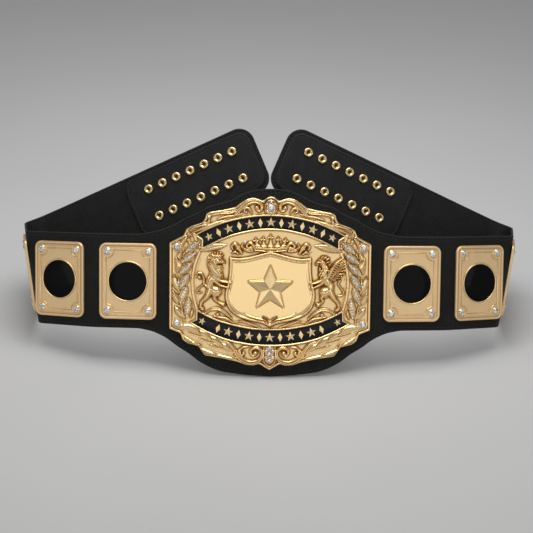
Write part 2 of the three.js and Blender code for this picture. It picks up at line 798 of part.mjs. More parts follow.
// A leaf swells to its full width a little before its middle.
function leafSolid({ x, z, tipX, tipZ }, mirror) {
  const row = (share, width, rise) => ({
    x: THREE.MathUtils.lerp(x, tipX, share),
    z: THREE.MathUtils.lerp(z, tipZ, share),
    width: width * LEAF_WIDTH,
    rise: rise * LEAF_RISE,
  });
  return ridge([row(0, 0.2, 0.3), row(0.45, 1, 1), row(1, 0.1, 0.3)], mirror);
}

function scrollSolids({ x, z, kneeX, kneeZ, stemX, stemZ, size }, mirror) {
  const width = SCROLL_WIDTH * size;
  const stem = [
    { x, z, width, rise: SCROLL_RISE },
    { x: kneeX, z: kneeZ, width, rise: SCROLL_RISE },
    { x: stemX, z: stemZ, width: width / 3, rise: SCROLL_RISE / 3 },
  ];
  const eye = cylinder(SCROLL_EYE * size, -SINK, SCROLL_RISE, STONE_SIDES);
  return [ridge(stem, mirror), onPlate(eye, x * mirror, z)];
}

// A cut stone: straight girdle, slanting crown and flat table, from its foot up.
const GIRDLE_HEIGHT = 0.35;
const TABLE_WIDTH = 0.55;

function stoneSolid(diameter, foot) {
  const radius = diameter / 2;
  return turned(
    [
      [0, foot],
      [radius, foot],
      [radius, STONE_HEIGHT * GIRDLE_HEIGHT],
      [radius * TABLE_WIDTH, STONE_HEIGHT],
      [0, STONE_HEIGHT],
    ],
    STONE_SIDES,
  );
}

function mainPlateSolid() {
  const mirrors = Object.values(SIDES);
  const seat = cylinder(STONE_SEAT_DIAMETER, -SINK, STONE_SEAT_HEIGHT, STONE_SIDES);
  const seatPocket = cylinder(STONE_DIAMETER + 2 * SEAT_GAP, 0, STONE_HEIGHT, STONE_SIDES);
  const casting = joined([
    plateBody(),
    border(PLATE_OUTLINE, MAIN_RIM_WIDTH, FIELD - SINK, FIELD + MAIN_RIM_RISE),
    ...LEAVES.flatMap((leaf) => mirrors.map((mirror) => leafSolid(leaf, mirror))),
    ...SCROLLS.flatMap((scroll) => mirrors.flatMap((mirror) => scrollSolids(scroll, mirror))),
    ...Object.values(FIGURES).map(figureSolid),
    ...Object.values(BANNERS).map(bannerFrame),
    ...shieldSolids(),
    ...CORNER_STONES.map(({ x, z }) => onPlate(seat, x, z)),
    ...SET_STONES.map(({ x, z, size }) => onPlate(stoneSolid(STONE_DIAMETER * size, -SINK), x, z)),
  ]);
  const pockets = [
    ...Object.values(BANNERS).map(bannerPocket),
    ...CORNER_STONES.map(({ x, z }) => onPlate(seatPocket, x, z)),
  ];
  return casting.subtract(joined(pockets));
}

// Side plates, in their own frame: x along the strap, y up, z out, 0 at the back face

function roundedRectangle(insetBy, z) {
  const radius = SIDE_CORNER_RADIUS - insetBy;
  const x = SIDE_WIDTH / 2 - SIDE_CORNER_RADIUS;
  const y = SIDE_HEIGHT / 2 - SIDE_CORNER_RADIUS;
  const centres = [[x, y], [-x, y], [-x, -y], [x, -y]];
  return centres.flatMap(([cx, cy], quarter) =>
    Array.from({ length: PLATE_CORNER_STEPS + 1 }, (_, i) => {
      const angle = ((quarter + i / PLATE_CORNER_STEPS) * Math.PI) / 2;
      return new THREE.Vector3(cx + radius * Math.cos(angle), cy + radius * Math.sin(angle), z);
    }),
  );
}

function sidePlateSolid() {
  const field = SIDE_THICKNESS;
  const rimTop = field + SIDE_RIM_RISE;
  const body = loft([
    roundedRectangle(0, 0),
    roundedRectangle(0, field),
    roundedRectangle(SIDE_RIM_RISE, rimTop),
  ]);
  const hollow = loft([
    roundedRectangle(SIDE_RIM_WIDTH + SIDE_RIM_RISE, field),
    roundedRectangle(SIDE_RIM_WIDTH, rimTop),
    roundedRectangle(SIDE_RIM_WIDTH, rimTop + OVERRUN),
  ]);
  const seat = SIDE_DISC_DIAMETER + 2 * SEAT_GAP;
  const ring = cylinder(seat + 2 * SIDE_RING_WIDTH, field - SINK, rimTop, DISC_SIDES);
  const pocket = cylinder(seat, field - SIDE_DISC_RECESS, rimTop + OVERRUN, DISC_SIDES);
  const stone = stoneSolid(STONE_DIAMETER, -SINK);
  const x = SIDE_WIDTH / 2 - SIDE_STONE_INSET;
  const y = SIDE_HEIGHT / 2 - SIDE_STONE_INSET;
  const corners = [[x, y], [-x, y], [-x, -y], [x, -y]];
  const stones = corners.map(([cx, cy]) => stone.translate([cx, cy, field]));
  return joined([body.subtract(hollow), ring, ...stones]).subtract(pocket);
}

function sideDiscSolid() {
  const foot = SIDE_THICKNESS - SIDE_DISC_RECESS + SEAT_GAP;
  return cylinder(SIDE_DISC_DIAMETER, foot, SIDE_THICKNESS + SIDE_RIM_RISE / 2, DISC_SIDES);
}

// Materials
const LEATHER = { color: 0x1b1b1c, roughness: 0.62, metalness: 0 };
const GOLD = { color: 0xd9ab5c, roughness: 0.3, metalness: 1 };
const ENAMEL = { color: 0x0c0c0d, roughness: 0.25, metalness: 0 };
const STONE = { color: 0xf2f4f8, roughness: 0.05, metalness: 0 };

function named(name, geometry, finish, matrix = new THREE.Matrix4()) {
  const mesh = new THREE.Mesh(geometry, new THREE.MeshStandardMaterial(finish));
  mesh.name = name;
  matrix.decompose(mesh.position, mesh.quaternion, mesh.scale);
  return mesh;
}

function strapGroup() {
  const group = new THREE.Group();
  const places = snapPlaces();
  const holes = joined(places.map(snapHole));
  group.add(named('strap', geometryOf(strapSolid().subtract(holes)), LEATHER));
  for (const [side, sign] of Object.entries(SIDES)) {
    group.add(named(`snap_patch_${side}`, geometryOf(patchSolid(sign).subtract(holes)), LEATHER));
  }
  const snap = geometryOf(snapSolid());
  for (const place of places) group.add(named(place.name, snap, GOLD, snapMatrix(place)));
  return group;
}

function mainPlateGroup() {
  const group = new THREE.Group();
  group.add(named('main_plate', geometryOf(mainPlateSolid()), GOLD));
  for (const [name, banner] of Object.entries(BANNERS)) {
    group.add(named(`banner_fill_${name}`, geometryOf(bannerFill(banner)), ENAMEL));
  }
  const stone = geometryOf(stoneSolid(STONE_DIAMETER, SEAT_GAP));
  for (const { name, x, z } of CORNER_STONES) {
    group.add(named(name, stone, STONE, strapMatrix(plateX(x), plateZ(z), FIELD)));
  }
  return group;
}

function sidePlatesGroup() {
  const group = new THREE.Group();
  const plate = geometryOf(sidePlateSolid());
  const disc = geometryOf(sideDiscSolid());
  for (const [side, sign] of Object.entries(SIDES)) {
    for (const number of [1, 2, 3]) {
      const middle = zoneStart(`side ${number}`) + SIDE_WIDTH / 2;
      const matrix = strapMatrix(sign * middle, 0, SEAT_GAP);
      group.add(named(`side_plate_${side}_${number}`, plate, GOLD, matrix));
      group.add(named(`side_disc_${side}_${number}`, disc, ENAMEL, matrix));
    }
  }
  return group;
}

// How far the belt leans back, in radians: it rests on the lowest point of its lobe and on
// the lower edge of its two end bends.
function restingLean() {
  const edge = STATIONS.map(({ s }) => strapPoint(s, edgeOnRuling(s, strapBottom), 0));
  const foot = edge[0];
  const behind = edge.filter((point) => point.y > foot.y + STRAP_HEIGHT / 4);
  return Math.min(...behind.map((point) => Math.atan2(point.z - foot.z, point.y - foot.y)));
}

// The whole belt leans until it rests, with its origin under the middle of its box.
const leaning = new THREE.Group();
leaning.add(strapGroup(), mainPlateGroup(), sidePlatesGroup());
leaning.rotation.x = -restingLean();
const belt = new THREE.Group();
belt.add(leaning);
belt.updateMatrixWorld(true);
const box = new THREE.Box3().setFromObject(belt, true);
const middle = box.getCenter(new THREE.Vector3());
leaning.position.set(-middle.x, -middle.y, -box.min.z);

export default belt;
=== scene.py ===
# %% [markdown]
# # A championship title belt
#
# The belt is one long black leather strap with a large cast plate in front, three small plates
# on each side, and two tails that snap together at the wearer's back. This notebook dresses the
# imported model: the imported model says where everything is, and each cell below makes one piece
# or one finish in its place. All lengths are typed in millimetres and turned into metres once.

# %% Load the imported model
import math

import bmesh
import bpy
import numpy as np
from mathutils import Matrix, Vector, kdtree


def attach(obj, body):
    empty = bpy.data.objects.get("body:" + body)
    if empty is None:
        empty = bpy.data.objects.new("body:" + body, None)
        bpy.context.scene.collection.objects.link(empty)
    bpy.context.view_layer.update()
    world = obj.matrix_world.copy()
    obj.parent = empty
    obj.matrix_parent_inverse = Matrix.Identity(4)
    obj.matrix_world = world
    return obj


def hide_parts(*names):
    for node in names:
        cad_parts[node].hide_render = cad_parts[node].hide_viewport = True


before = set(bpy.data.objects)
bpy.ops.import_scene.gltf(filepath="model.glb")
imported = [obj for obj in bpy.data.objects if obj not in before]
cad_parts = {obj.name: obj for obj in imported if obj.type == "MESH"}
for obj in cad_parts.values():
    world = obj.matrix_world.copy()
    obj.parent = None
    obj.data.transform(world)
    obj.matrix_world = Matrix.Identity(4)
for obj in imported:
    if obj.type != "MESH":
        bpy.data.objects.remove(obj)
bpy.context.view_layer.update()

MM = 0.001

# %% [markdown]
# ## The strap's path through space
#
# Leather bends but hardly stretches, so a strap is a flat pattern that is rolled round straight
# lines. It could be bent with a curve modifier, but that would stretch it. Here the pattern is
# walked in small steps instead. Each step turns a little round a straight ruling, which gives
# every later piece an exact place: how far along (s), how far up (v) and how far out (h).

# %% Zones of one half of the strap
MAIN_WIDTH, MAIN_HEIGHT, MAIN_THICKNESS = 252.0, 217.0, 3.0
SIDE_WIDTH, SIDE_HEIGHT, SIDE_THICKNESS = 73.5, 96.0, 2.6
STRAP_THICKNESS, STRAP_MARGIN, SEAT_GAP = 3.0, 11.5, 0.3
PATCH_LENGTH, PATCH_INSET, PATCH_THICKNESS = 186.0, 6.0, 2.0
FIELD = SEAT_GAP + MAIN_THICKNESS

# name, length, how far it turns back, and how far its rulings lean at its end, in degrees
ZONES = (
    ("main", MAIN_WIDTH / 2, 4.2, 0.0),
    ("first gap", 16.0, 2.9, 0.0),
    ("side 1", SIDE_WIDTH, 0.0, 0.0),
    ("second gap", 20.5, 18.0, 0.0),
    ("side 2", SIDE_WIDTH, 0.0, 9.8),
    ("third gap", 14.0, 54.5, 9.8),
    ("side 3", SIDE_WIDTH, 0.0, 13.7),
    ("end bend", 49.5, 110.6, 13.7),
    ("easing", 50.0, 3.1, 13.7),
    ("lead", 80.0, 0.0, 0.0),
    ("patch", PATCH_LENGTH + PATCH_INSET, 0.0, 0.0),
)
HALF_LENGTH = sum(zone[1] for zone in ZONES)


def zone_start(name):
    index = [zone[0] for zone in ZONES].index(name)
    return sum(zone[1] for zone in ZONES[:index])


def spun(vector, axis, angle):
    """The vector turned round a unit axis."""
    cosine, sine = math.cos(angle), math.sin(angle)
    return vector * cosine + np.cross(axis, vector) * sine + axis * (axis @ vector) * (1 - cosine)


def lay_stations():
    """Rows of s, point, along, across and ruling slope, a millimetre apart."""
    point, along, across = np.zeros(3), np.array((1.0, 0, 0)), np.array((0, 0, 1.0))
    rows, s, tilt = [(0.0, *point, *along, *across, 0.0)], 0.0, 0.0
    for _, length, turn, end_tilt in ZONES:
        steps = math.ceil(length)
        for i in range(1, steps + 1):
            lean = math.radians(tilt + (end_tilt - tilt) * i / steps)
            ruling = across + along * math.tan(lean)
            ruling /= np.linalg.norm(ruling)
            angle = math.radians(turn / steps) * math.cos(lean)
            before, along, across = along, spun(along, ruling, angle), spun(across, ruling, angle)
            heading = before + along
            point = point + heading / np.linalg.norm(heading) * length / steps
            s += length / steps
            rows.append((s, *point, *along, *across, math.tan(lean)))
        tilt = end_tilt
    return np.array(rows)


STATIONS = lay_stations()
print("strap", round(2 * HALF_LENGTH), "mm long, walked in", len(STATIONS), "steps a half")

# %% [markdown]
# The belt rests on the front of its lobe and on its two bends, so it leans back. Everything is
# worked out upright and then leaned and lifted in one place, which keeps the later cells simple.

# %% Places on the strap
LEAN = math.radians(24.372)
REST_SHIFT = np.array((0.0, -80.7735, 108.7225))


def leaned(vectors):
    x, y, z = np.asarray(vectors, float).T
    c, s = math.cos(LEAN), math.sin(LEAN)
    return np.stack((x, y * c + z * s, z * c - y * s), -1)


def strap_frame(s):
    """The middle line's point, and the along, across and out directions and slope at each s."""
    s = np.atleast_1d(np.asarray(s, float))
    side = np.where(s < 0, -1.0, 1.0)
    column = [np.interp(np.abs(s), STATIONS[:, 0], STATIONS[:, k]) for k in range(1, 11)]
    point, along, across = (np.stack(column[k:k + 3], 1) for k in (0, 3, 6))
    along /= np.linalg.norm(along, axis=1)[:, None]
    across /= np.linalg.norm(across, axis=1)[:, None]
    point[:, 0] *= side
    along[:, 1:] *= side[:, None]
    across[:, 0] *= side
    return point, along, across, np.cross(along, across), column[9] * side


def on_strap(s, v, h):
    """Points in metres, v up the ruling at s and h out of the outer face."""
    point, along, across, out, slope = strap_frame(s)
    v, h = (np.broadcast_to(np.asarray(a, float), len(point))[:, None] for a in (v, h))
    placed = point + v * (across + slope[:, None] * along) + h * out
    return (leaned(placed) + REST_SHIFT) * MM


def on_pattern(flat, v, h):
    """The same for a distance measured along the flat pattern."""
    flat, v = np.asarray(flat, float), np.asarray(v, float)
    s = flat.copy()
    for _ in range(8):
        s = flat - v * strap_frame(s)[4]
    return on_strap(s, v, h)


def on_flat_piece(middle, points):
    """Points of a piece made flat, with x along, y up and z out of the strap at the middle."""
    point, along, across, out, _ = (a[0] for a in strap_frame(middle))
    x, y, z = np.asarray(points, float).T[..., None]
    return (leaned(point + x * along + y * across + z * out) + REST_SHIFT) * MM


# %% [markdown]
# ## The camera
#
# The photograph looks down on the belt from straight in front with a long lens. The angles, the
# distance and the lens come from a least-squares fit to the snaps, stones and tips seen in it.
# The camera is set by its three axes rather than aimed, so that its small roll is kept too.

# %% Camera
VIEW_YAW, VIEW_PITCH, VIEW_ROLL = (math.radians(angle) for angle in (-0.645, 4.594, 0.626))
VIEW_DISTANCE, VIEW_TARGET, LENS = 1413.0, np.array((-4.84, 0.0, 21.0)), 76.52

back = np.array((
    math.sin(VIEW_YAW) * math.cos(VIEW_PITCH),
    -math.cos(VIEW_YAW) * math.cos(VIEW_PITCH),
    math.sin(VIEW_PITCH),
))
right = spun(np.array((math.cos(VIEW_YAW), math.sin(VIEW_YAW), 0.0)), back, VIEW_ROLL)
axes = [leaned(axis) for axis in (right, np.cross(back, right), back)]
eye = (leaned(VIEW_TARGET + back * VIEW_DISTANCE) + REST_SHIFT) * MM

camera = bpy.data.objects.new("camera", bpy.data.cameras.new("camera"))
camera.data.lens, camera.data.sensor_width = LENS, 36.0
camera.data.clip_end = 20.0
camera.matrix_world = Matrix([[*(axis[i] for axis in axes), eye[i]] for i in range(3)] + [[0, 0, 0, 1]])
bpy.context.scene.collection.objects.link(camera)
bpy.context.scene.camera = camera
print("camera at", eye.round(3), "metres")

# %% [markdown]
# ## Making meshes
#
# Every piece below is written as points and faces. A closed ring of points is repeated along a
# path and skinned, which gives clean quads with no stray faces. Faces whose material differs
# carry an index, and edges sharper than a set angle stay crisp.

# %% Mesh helpers
def skin(rings, closed=False):
    """Faces between rings of as many points. Its ends are capped unless it is closed."""
    count, size = rings.shape[:2]
    grid = np.arange(count * size).reshape(count, size)
    a = grid if closed else grid[:-1]
    b = np.roll(grid, -1, 0) if closed else grid[1:]
    quads = np.stack((a, np.roll(a, -1, 1), np.roll(b, -1, 1), b), -1).reshape(-1, 4)
    faces = quads.tolist()
    if not closed:
        faces += [grid[0][::-1].tolist(), grid[-1].tolist()]
    return rings.reshape(-1, 3), faces


def gathered(shapes):
    """Several shapes as one: all points, all faces and a material index for each face."""
    points, faces, marks, start = [], [], [], 0
    for shape in shapes:
        own, own_faces = shape[0], shape[1]
        points.append(own)
        faces += [[i + start for i in face] for face in own_faces]
        marks += [shape[2] if len(shape) > 2 else 0] * len(own_faces)
        start += len(own)
    return np.concatenate(points), faces, marks


def make_piece(name, shapes, materials, replaced=(), sharp=35.0):
    """A piece of the belt from shapes in metres. It stands for the nodes in replaced."""
    points, faces, marks = gathered(shapes)
    mesh = bpy.data.meshes.new(name)
    mesh.from_pydata(points.tolist(), [], faces)
    mesh.polygons.foreach_set("material_index", marks)
    body = bmesh.new()
    body.from_mesh(mesh)
    bmesh.ops.recalc_face_normals(body, faces=body.faces)
    body.to_mesh(mesh)
    body.free()
    mesh.shade_smooth()
    mesh.set_sharp_from_angle(angle=math.radians(sharp))
    for material in materials:
        mesh.materials.append(material)
    piece = bpy.data.objects.new(name, mesh)
    bpy.context.scene.collection.objects.link(piece)
    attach(piece, "root")
    if replaced:
        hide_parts(*replaced)
    triangles = sum(len(face) - 2 for face in faces)
    print(name, "has", len(points), "points and", triangles, "triangles")
    return piece


def store(piece, name, values):
    """Keeps one number for each point, for a material to read."""
    attribute = piece.data.attributes.new(name, "FLOAT", "POINT")
    attribute.data.foreach_set("value", np.asarray(values, np.float32))


# %% [markdown]
# ## Leather
#
# Belt leather is dyed black and pressed with a fine grain. Up close it is a field of small
# pebbles with narrow valleys, its colour wanders a little, and handling rubs its edges paler
# and smoother. Cells from a Voronoi texture make the pebbles, two noises make the wandering,
# and a number stored on the mesh says how near the edge a point is.

# %% Material helpers
def new_material(name, base, roughness, **sockets):
    """A principled material with its constant values, and a short way to add nodes."""
    material = bpy.data.materials.new(name)
    material.use_nodes = True
    nodes, links = material.node_tree.nodes, material.node_tree.links
    shader = nodes["Principled BSDF"]
    shader.inputs["Base Color"].default_value = (*base, 1.0)
    shader.inputs["Roughness"].default_value = roughness
    for socket, value in sockets.items():
        shader.inputs[socket.replace("_", " ")].default_value = value
    place = nodes.new("ShaderNodeTexCoord").outputs["Object"]

    def add(kind, inputs=(), **settings):
        node = nodes.new("ShaderNode" + kind)
        for key, value in settings.items():
            setattr(node, key, value)
        for key, value in dict(inputs).items():
            if isinstance(value, bpy.types.NodeSocket):
                links.new(value, node.inputs[key])
            else:
                node.inputs[key].default_value = value
        return node

    return material, shader, links, place, add


def noise(add, place, scale, detail=3.0, roughness=0.55):
    """Cloudy noise whose size is given in cells a metre."""
    inputs = {"Vector": place, "Scale": scale, "Detail": detail, "Roughness": roughness}
    return add("TexNoise", inputs).outputs["Fac"]


def ranged(add, value, low, high, to_low, to_high):
    """A value moved from one range to another and held inside it."""
    inputs = {"Value": value, "From Min": low, "From Max": high, "To Min": to_low, "To Max": to_high}
    return add("MapRange", inputs).outputs["Result"]


def blended(add, share, first, second):
    """A colour between two, by a share from 0 to 1."""
    node = add("Mix", data_type="RGBA")
    for key, value in ((0, share), (6, first), (7, second)):
        if isinstance(value, bpy.types.NodeSocket):
            node.id_data.links.new(value, node.inputs[key])
        else:
            node.inputs[key].default_value = (*value, 1.0) if key else value
    return node.outputs[2]


def bumped(add, links, shader, height, depth):
    """Presses a height texture into the surface, to a depth in metres."""
    normal = add("Bump", {"Height": height, "Distance": depth}).outputs["Normal"]
    links.new(normal, shader.inputs["Normal"])


WORN_GAIN, WORN_PALE = 2.6, 0.012


def leather(name, dark, light, grain, depth, roughness):
    """Grained leather. grain is pebbles a metre."""
    material, shader, links, place, add = new_material(name, dark, roughness, Specular_IOR_Level=0.24)
    rub = add("Attribute", attribute_name="rub").outputs["Fac"]
    clouds = noise(add, place, 38.0, 5.0, 0.6)
    flecks = noise(add, place, 420.0, 3.0, 0.7)
    mottle = add("Math", {0: clouds, 1: flecks}, operation="MULTIPLY").outputs[0]
    dye = blended(add, ranged(add, mottle, 0.17, 0.38, 0.0, 1.0), dark, light)
    worn = tuple(WORN_GAIN * channel + WORN_PALE for channel in light)
    links.new(blended(add, rub, dye, worn), shader.inputs["Base Color"])
    pebbles = {"Vector": place, "Scale": grain, "Randomness": 0.9}
    cell = add("TexVoronoi", pebbles, feature="DISTANCE_TO_EDGE")
    pebble = ranged(add, cell.outputs["Distance"], 0.0, 0.28, 0.0, 1.0)
    wander = noise(add, place, grain * 0.35, 4.0, 0.65)
    height = add("Math", {0: pebble, 1: wander}, operation="ADD").outputs[0]
    bumped(add, links, shader, height, depth)
    satin = ranged(add, clouds, 0.3, 0.75, roughness - 0.07, roughness + 0.09)
    links.new(satin, shader.inputs["Roughness"])
    return material


STRAP_LEATHER = leather("strap_leather", (0.0032, 0.0034, 0.003), (0.0108, 0.011, 0.01), 620.0, 0.0003, 0.6)
PATCH_LEATHER = leather(
    "patch_leather", (0.0045, 0.0046, 0.0046), (0.0128, 0.0128, 0.0124), 900.0, 0.00016, 0.47
)
print("leathers:", STRAP_LEATHER.name, PATCH_LEATHER.name)

# %% [markdown]
# Waxed thread is dyed like the leather but catches more light, because its strands are round
# and smooth. Waves across each stitch stand for the twist: a bump, and a painted highlight and
# shade on each strand.

# %% Thread
THREAD, shader, links, place, add = new_material("waxed_thread", (0.03, 0.03, 0.031), 0.42)
twist_and_sheen = add("TexWave", {"Vector": place, "Scale": 900.0, "Distortion": 1.5}).outputs["Fac"]
# painted highlight and shade of the twisted strands in the colour; the twist is also pressed in as a bump
links.new(blended(add, twist_and_sheen, (0.012, 0.012, 0.012), (0.034, 0.034, 0.033)), shader.inputs["Base Color"])
bumped(add, links, shader, twist_and_sheen, 0.00008)
print("thread:", THREAD.name)

# %% [markdown]
# ## The strap
#
# The strap is cut from one thick hide. It widens into a lobe behind the main plate, runs back
# along both sides, bends round and narrows to its tails. Its edges are rounded over and
# burnished, and a groove is pressed along them for the stitches to lie in. A displacement map
# could press the groove, but here each point's height is worked out from its distance to the
# cut edge, so the groove also follows the rounded tail ends.

# %% Outline of the strap
STRAP_HEIGHT = SIDE_HEIGHT + 2 * STRAP_MARGIN
LOBE_HEIGHT, LOBE_REACH = MAIN_HEIGHT + 19.0, MAIN_WIDTH / 2 + 38.5
TAIL_HEIGHT, TAIL_CORNER = 94.0, 22.0
LOBE_TOP = np.array((
    (0, 1), (0.12, 0.98), (0.23, 0.87), (0.29, 0.75), (0.48, 0.61), (0.55, 0.47), (0.66, 0.35),
    (0.71, 0.24), (0.84, 0.09), (1, 0),
))
LOBE_BOTTOM = np.array((
    (0, 1), (0.18, 0.97), (0.37, 0.9), (0.46, 0.81), (0.55, 0.67), (0.61, 0.53), (0.7, 0.38),
    (0.79, 0.19), (0.89, 0.06), (1, 0),
))
EDGE_SOFTNESS = 5.0


def lobe_rise(flat, table):
    """How far the edge stands past the straight strap, with its corners softened."""
    spread = np.linspace(-EDGE_SOFTNESS, EDGE_SOFTNESS, 7)
    shares = np.abs(np.asarray(flat, float)[..., None] + spread) / LOBE_REACH
    rise = np.interp(shares, table[:, 0], table[:, 1]).mean(-1)
    return rise * (LOBE_HEIGHT - STRAP_HEIGHT) / 2


def corner_cut(distance, radius):
    inside = np.clip(radius - distance, 0.0, radius)
    return radius - np.sqrt(radius**2 - inside**2)


def strap_high(flat):
    cut = corner_cut(HALF_LENGTH - np.abs(flat), TAIL_CORNER)
    return STRAP_HEIGHT / 2 + lobe_rise(flat, LOBE_TOP) - cut


def strap_low(flat):
    start, end = zone_start("end bend"), zone_start("patch")
    share = np.clip((np.abs(flat) - start) / (end - start), 0, 1)
    climb = (STRAP_HEIGHT - TAIL_HEIGHT) * share**2 * (3 - 2 * share)
    cut = corner_cut(HALF_LENGTH - np.abs(flat), TAIL_CORNER)
    return climb - STRAP_HEIGHT / 2 - lobe_rise(flat, LOBE_BOTTOM) + cut


def on_ruling(s, edge):
    """How far up the ruling at s an edge of the flat pattern lies."""
    slope = strap_frame(s)[4]
    v = edge(s)
    for _ in range(6):
        v = edge(np.clip(s + v * slope, -HALF_LENGTH, HALF_LENGTH))
    return v


def half_stations():
    """Closer steps where the strap bends or where its outline curves."""
    steps = {
        "main": 2.5, "first gap": 2.5, "third gap": 1.0, "second gap": 2.0, "end bend": 1.4, "easing": 3.0,
    }
    spots = [np.arange(0, length, steps.get(name, 5.0)) + zone_start(name) for name, length, _, _ in ZONES]
    corner = HALF_LENGTH - TAIL_CORNER * (1 - np.sin(np.linspace(0, math.pi / 2, 22)))
    spots = np.concatenate(spots)
    return np.concatenate((spots[spots < HALF_LENGTH - TAIL_CORNER - 1], corner))


SPOTS = half_stations()
SPOTS = np.concatenate((-SPOTS[:0:-1], SPOTS))
FROM_EDGE = np.array((0, 0.25, 0.6, 1.1, 1.8, 2.7, 3.3, 3.7, 4.1, 4.5, 4.9, 5.5, 7, 9, 12))
print("strap outline is sampled at", len(SPOTS), "places")

# %% Skin the strap
GROOVE_INSET, GROOVE_DEPTH, GROOVE_WIDTH = 4.1, 0.5, 0.55


def outline_of(stations, low, high):
    """The pattern's outline as a closed line of points, half a millimetre or so apart."""
    slope = strap_frame(stations)[4]
    upper = np.stack((stations + high * slope, high), 1)
    lower = np.stack((stations + low * slope, low), 1)
    corners = np.concatenate((upper, lower[::-1], upper[:1]))
    legs = np.linalg.norm(np.diff(corners, axis=0), axis=1)
    run = np.concatenate(([0], np.cumsum(legs)))
    at = np.arange(0, run[-1], 0.5)
    return np.stack([np.interp(at, run, corners[:, k]) for k in (0, 1)], 1)


def edge_distance(points, outline):
    """How far each flat point is from the nearest point of an outline."""
    tree = kdtree.KDTree(len(outline))
    for i, (x, y) in enumerate(outline):
        tree.insert((x, y, 0.0), i)
    tree.balance()
    return np.array([tree.find((x, y, 0.0))[2] for x, y in points])


def leather_height(distance, thickness, round_over, groove, depth):
    """How far the face lies below flat at a distance from the edge."""
    near = np.clip(1 - distance / round_over, 0, 1)
    rounding = 0.36 * thickness * (1 - np.sqrt(1 - near**2))
    return rounding + depth * np.exp(-(((distance - groove) / GROOVE_WIDTH) ** 2))


def leather_slab(stations, low, high, base, thickness, spread, groove, depth, round_over=2.2):
    """A closed leather slab whose inner face is at base, and how near its edge each point is."""
    steep = np.maximum(np.abs(np.gradient(high, stations)), np.abs(np.gradient(low, stations)))
    reach = FROM_EDGE[None] * np.sqrt(1 + np.clip(steep, 0, 1.2) ** 2)[:, None]
    reach = np.minimum(reach, ((high - low) * 0.45)[:, None])
    middle = np.linspace(0, 1, spread)[None, 1:-1]
    start, end = low + reach[:, -1], high - reach[:, -1]
    across = np.concatenate(
        (low[:, None] + reach, start[:, None] + (end - start)[:, None] * middle,
        high[:, None] - reach[:, ::-1]), 1
    )
    along = np.broadcast_to(stations[:, None], across.shape)
    slope = strap_frame(stations)[4][:, None]
    flat = np.stack((along + across * slope, across), -1).reshape(-1, 2)
    distance = edge_distance(flat, outline_of(stations, low, high)).reshape(across.shape)
    fall = leather_height(distance, thickness, round_over, groove, depth)
    rings_v = np.concatenate((across, across[:, ::-1]), 1)
    rings_h = np.concatenate((base + thickness - fall, (base + fall)[:, ::-1]), 1)
    rings_s = np.broadcast_to(stations[:, None], rings_v.shape)
    placed = on_strap(rings_s.ravel(), rings_v.ravel(), rings_h.ravel())
    near = np.concatenate((distance, distance[:, ::-1]), 1).ravel()
    return skin(placed.reshape(*rings_v.shape, 3)), near


strap_edges = on_ruling(SPOTS, strap_low), on_ruling(SPOTS, strap_high)
shape, near = leather_slab(
    SPOTS, *strap_edges, -STRAP_THICKNESS, STRAP_THICKNESS, 14, GROOVE_INSET, GROOVE_DEPTH
)
strap = make_piece("strap_leather", [shape], [STRAP_LEATHER], ["strap"], 60)
store(strap, "rub", np.clip(1 - near / 1.6, 0, 1) * 0.5)

# %% [markdown]
# ## Stitches
#
# A lock stitch shows the same row of short threads on both faces. Each thread is a small closed
# spindle that sinks into the leather at both ends. All of them are one joined mesh, because
# hundreds of separate objects would be slow and no easier to change.

# %% Rows of stitches
STITCH_LENGTH, STITCH_GAP, STITCH_RADIUS, STITCH_SIDES = 4.0, 1.3, 0.42, 5
STITCH_DEPTH, STITCH_DIP = 0.25, 0.5
SPINDLE = ((0.0, 0.15), (0.16, 0.85), (0.5, 1.0), (0.84, 0.85), (1.0, 0.15))


def inset_line(outline, inset):
    """A closed line moved inwards. The outline runs clockwise."""
    ahead = np.roll(outline, -6, 0) - np.roll(outline, 6, 0)
    ahead /= np.linalg.norm(ahead, axis=1)[:, None]
    return outline + inset * np.stack((ahead[:, 1], -ahead[:, 0]), 1)


def stitch_row(line, height, sink):
    """Stitches along a closed flat line, lying at a height and sunk at their ends."""
    legs = np.linalg.norm(np.diff(np.concatenate((line, line[:1])), axis=0), axis=1)
    run = np.concatenate(([0], np.cumsum(legs)))
    count = int(run[-1] / (STITCH_LENGTH + STITCH_GAP))
    starts = np.arange(count) * run[-1] / count
    around = np.linspace(0, 2 * math.pi, STITCH_SIDES, endpoint=False)
    closed = np.concatenate((line, line[:1]))
    sections = []
    for share, swell in SPINDLE:
        at = starts + share * STITCH_LENGTH
        x, y = (np.interp(at, run, closed[:, k]) for k in (0, 1))
        x2, y2 = (np.interp(at + 0.5, run, closed[:, k]) for k in (0, 1))
        ahead = np.stack((x2 - x, y2 - y), 1)
        ahead /= np.linalg.norm(ahead, axis=1)[:, None] + 1e-9
        side = swell * STITCH_RADIUS * np.cos(around)
        flat = x[:, None] - ahead[:, 1:] * side
        up = y[:, None] + ahead[:, :1] * side
        lift = height + sink * (1 - swell) + swell * STITCH_RADIUS * np.sin(around)[None] + 0 * flat
        sections.append(on_pattern(flat.ravel(), up.ravel(), lift.ravel()).reshape(count, STITCH_SIDES, 3))
    return [skin(rings) for rings in np.stack(sections, 1)]


strap_outline = outline_of(SPOTS, *strap_edges)
seam = inset_line(strap_outline, GROOVE_INSET)
front = stitch_row(seam, -STITCH_DEPTH, -STITCH_DIP)
behind = stitch_row(seam, -STRAP_THICKNESS + STITCH_DEPTH, STITCH_DIP)
make_piece("strap_stitches", front + behind, [THREAD], sharp=80)

# %% [markdown]
# ## Snap patches
#
# Each tail has a second layer of leather on its inner face, where the snaps pull. It is skived
# thin at its rim, sewn down all round and a little smoother than the strap.

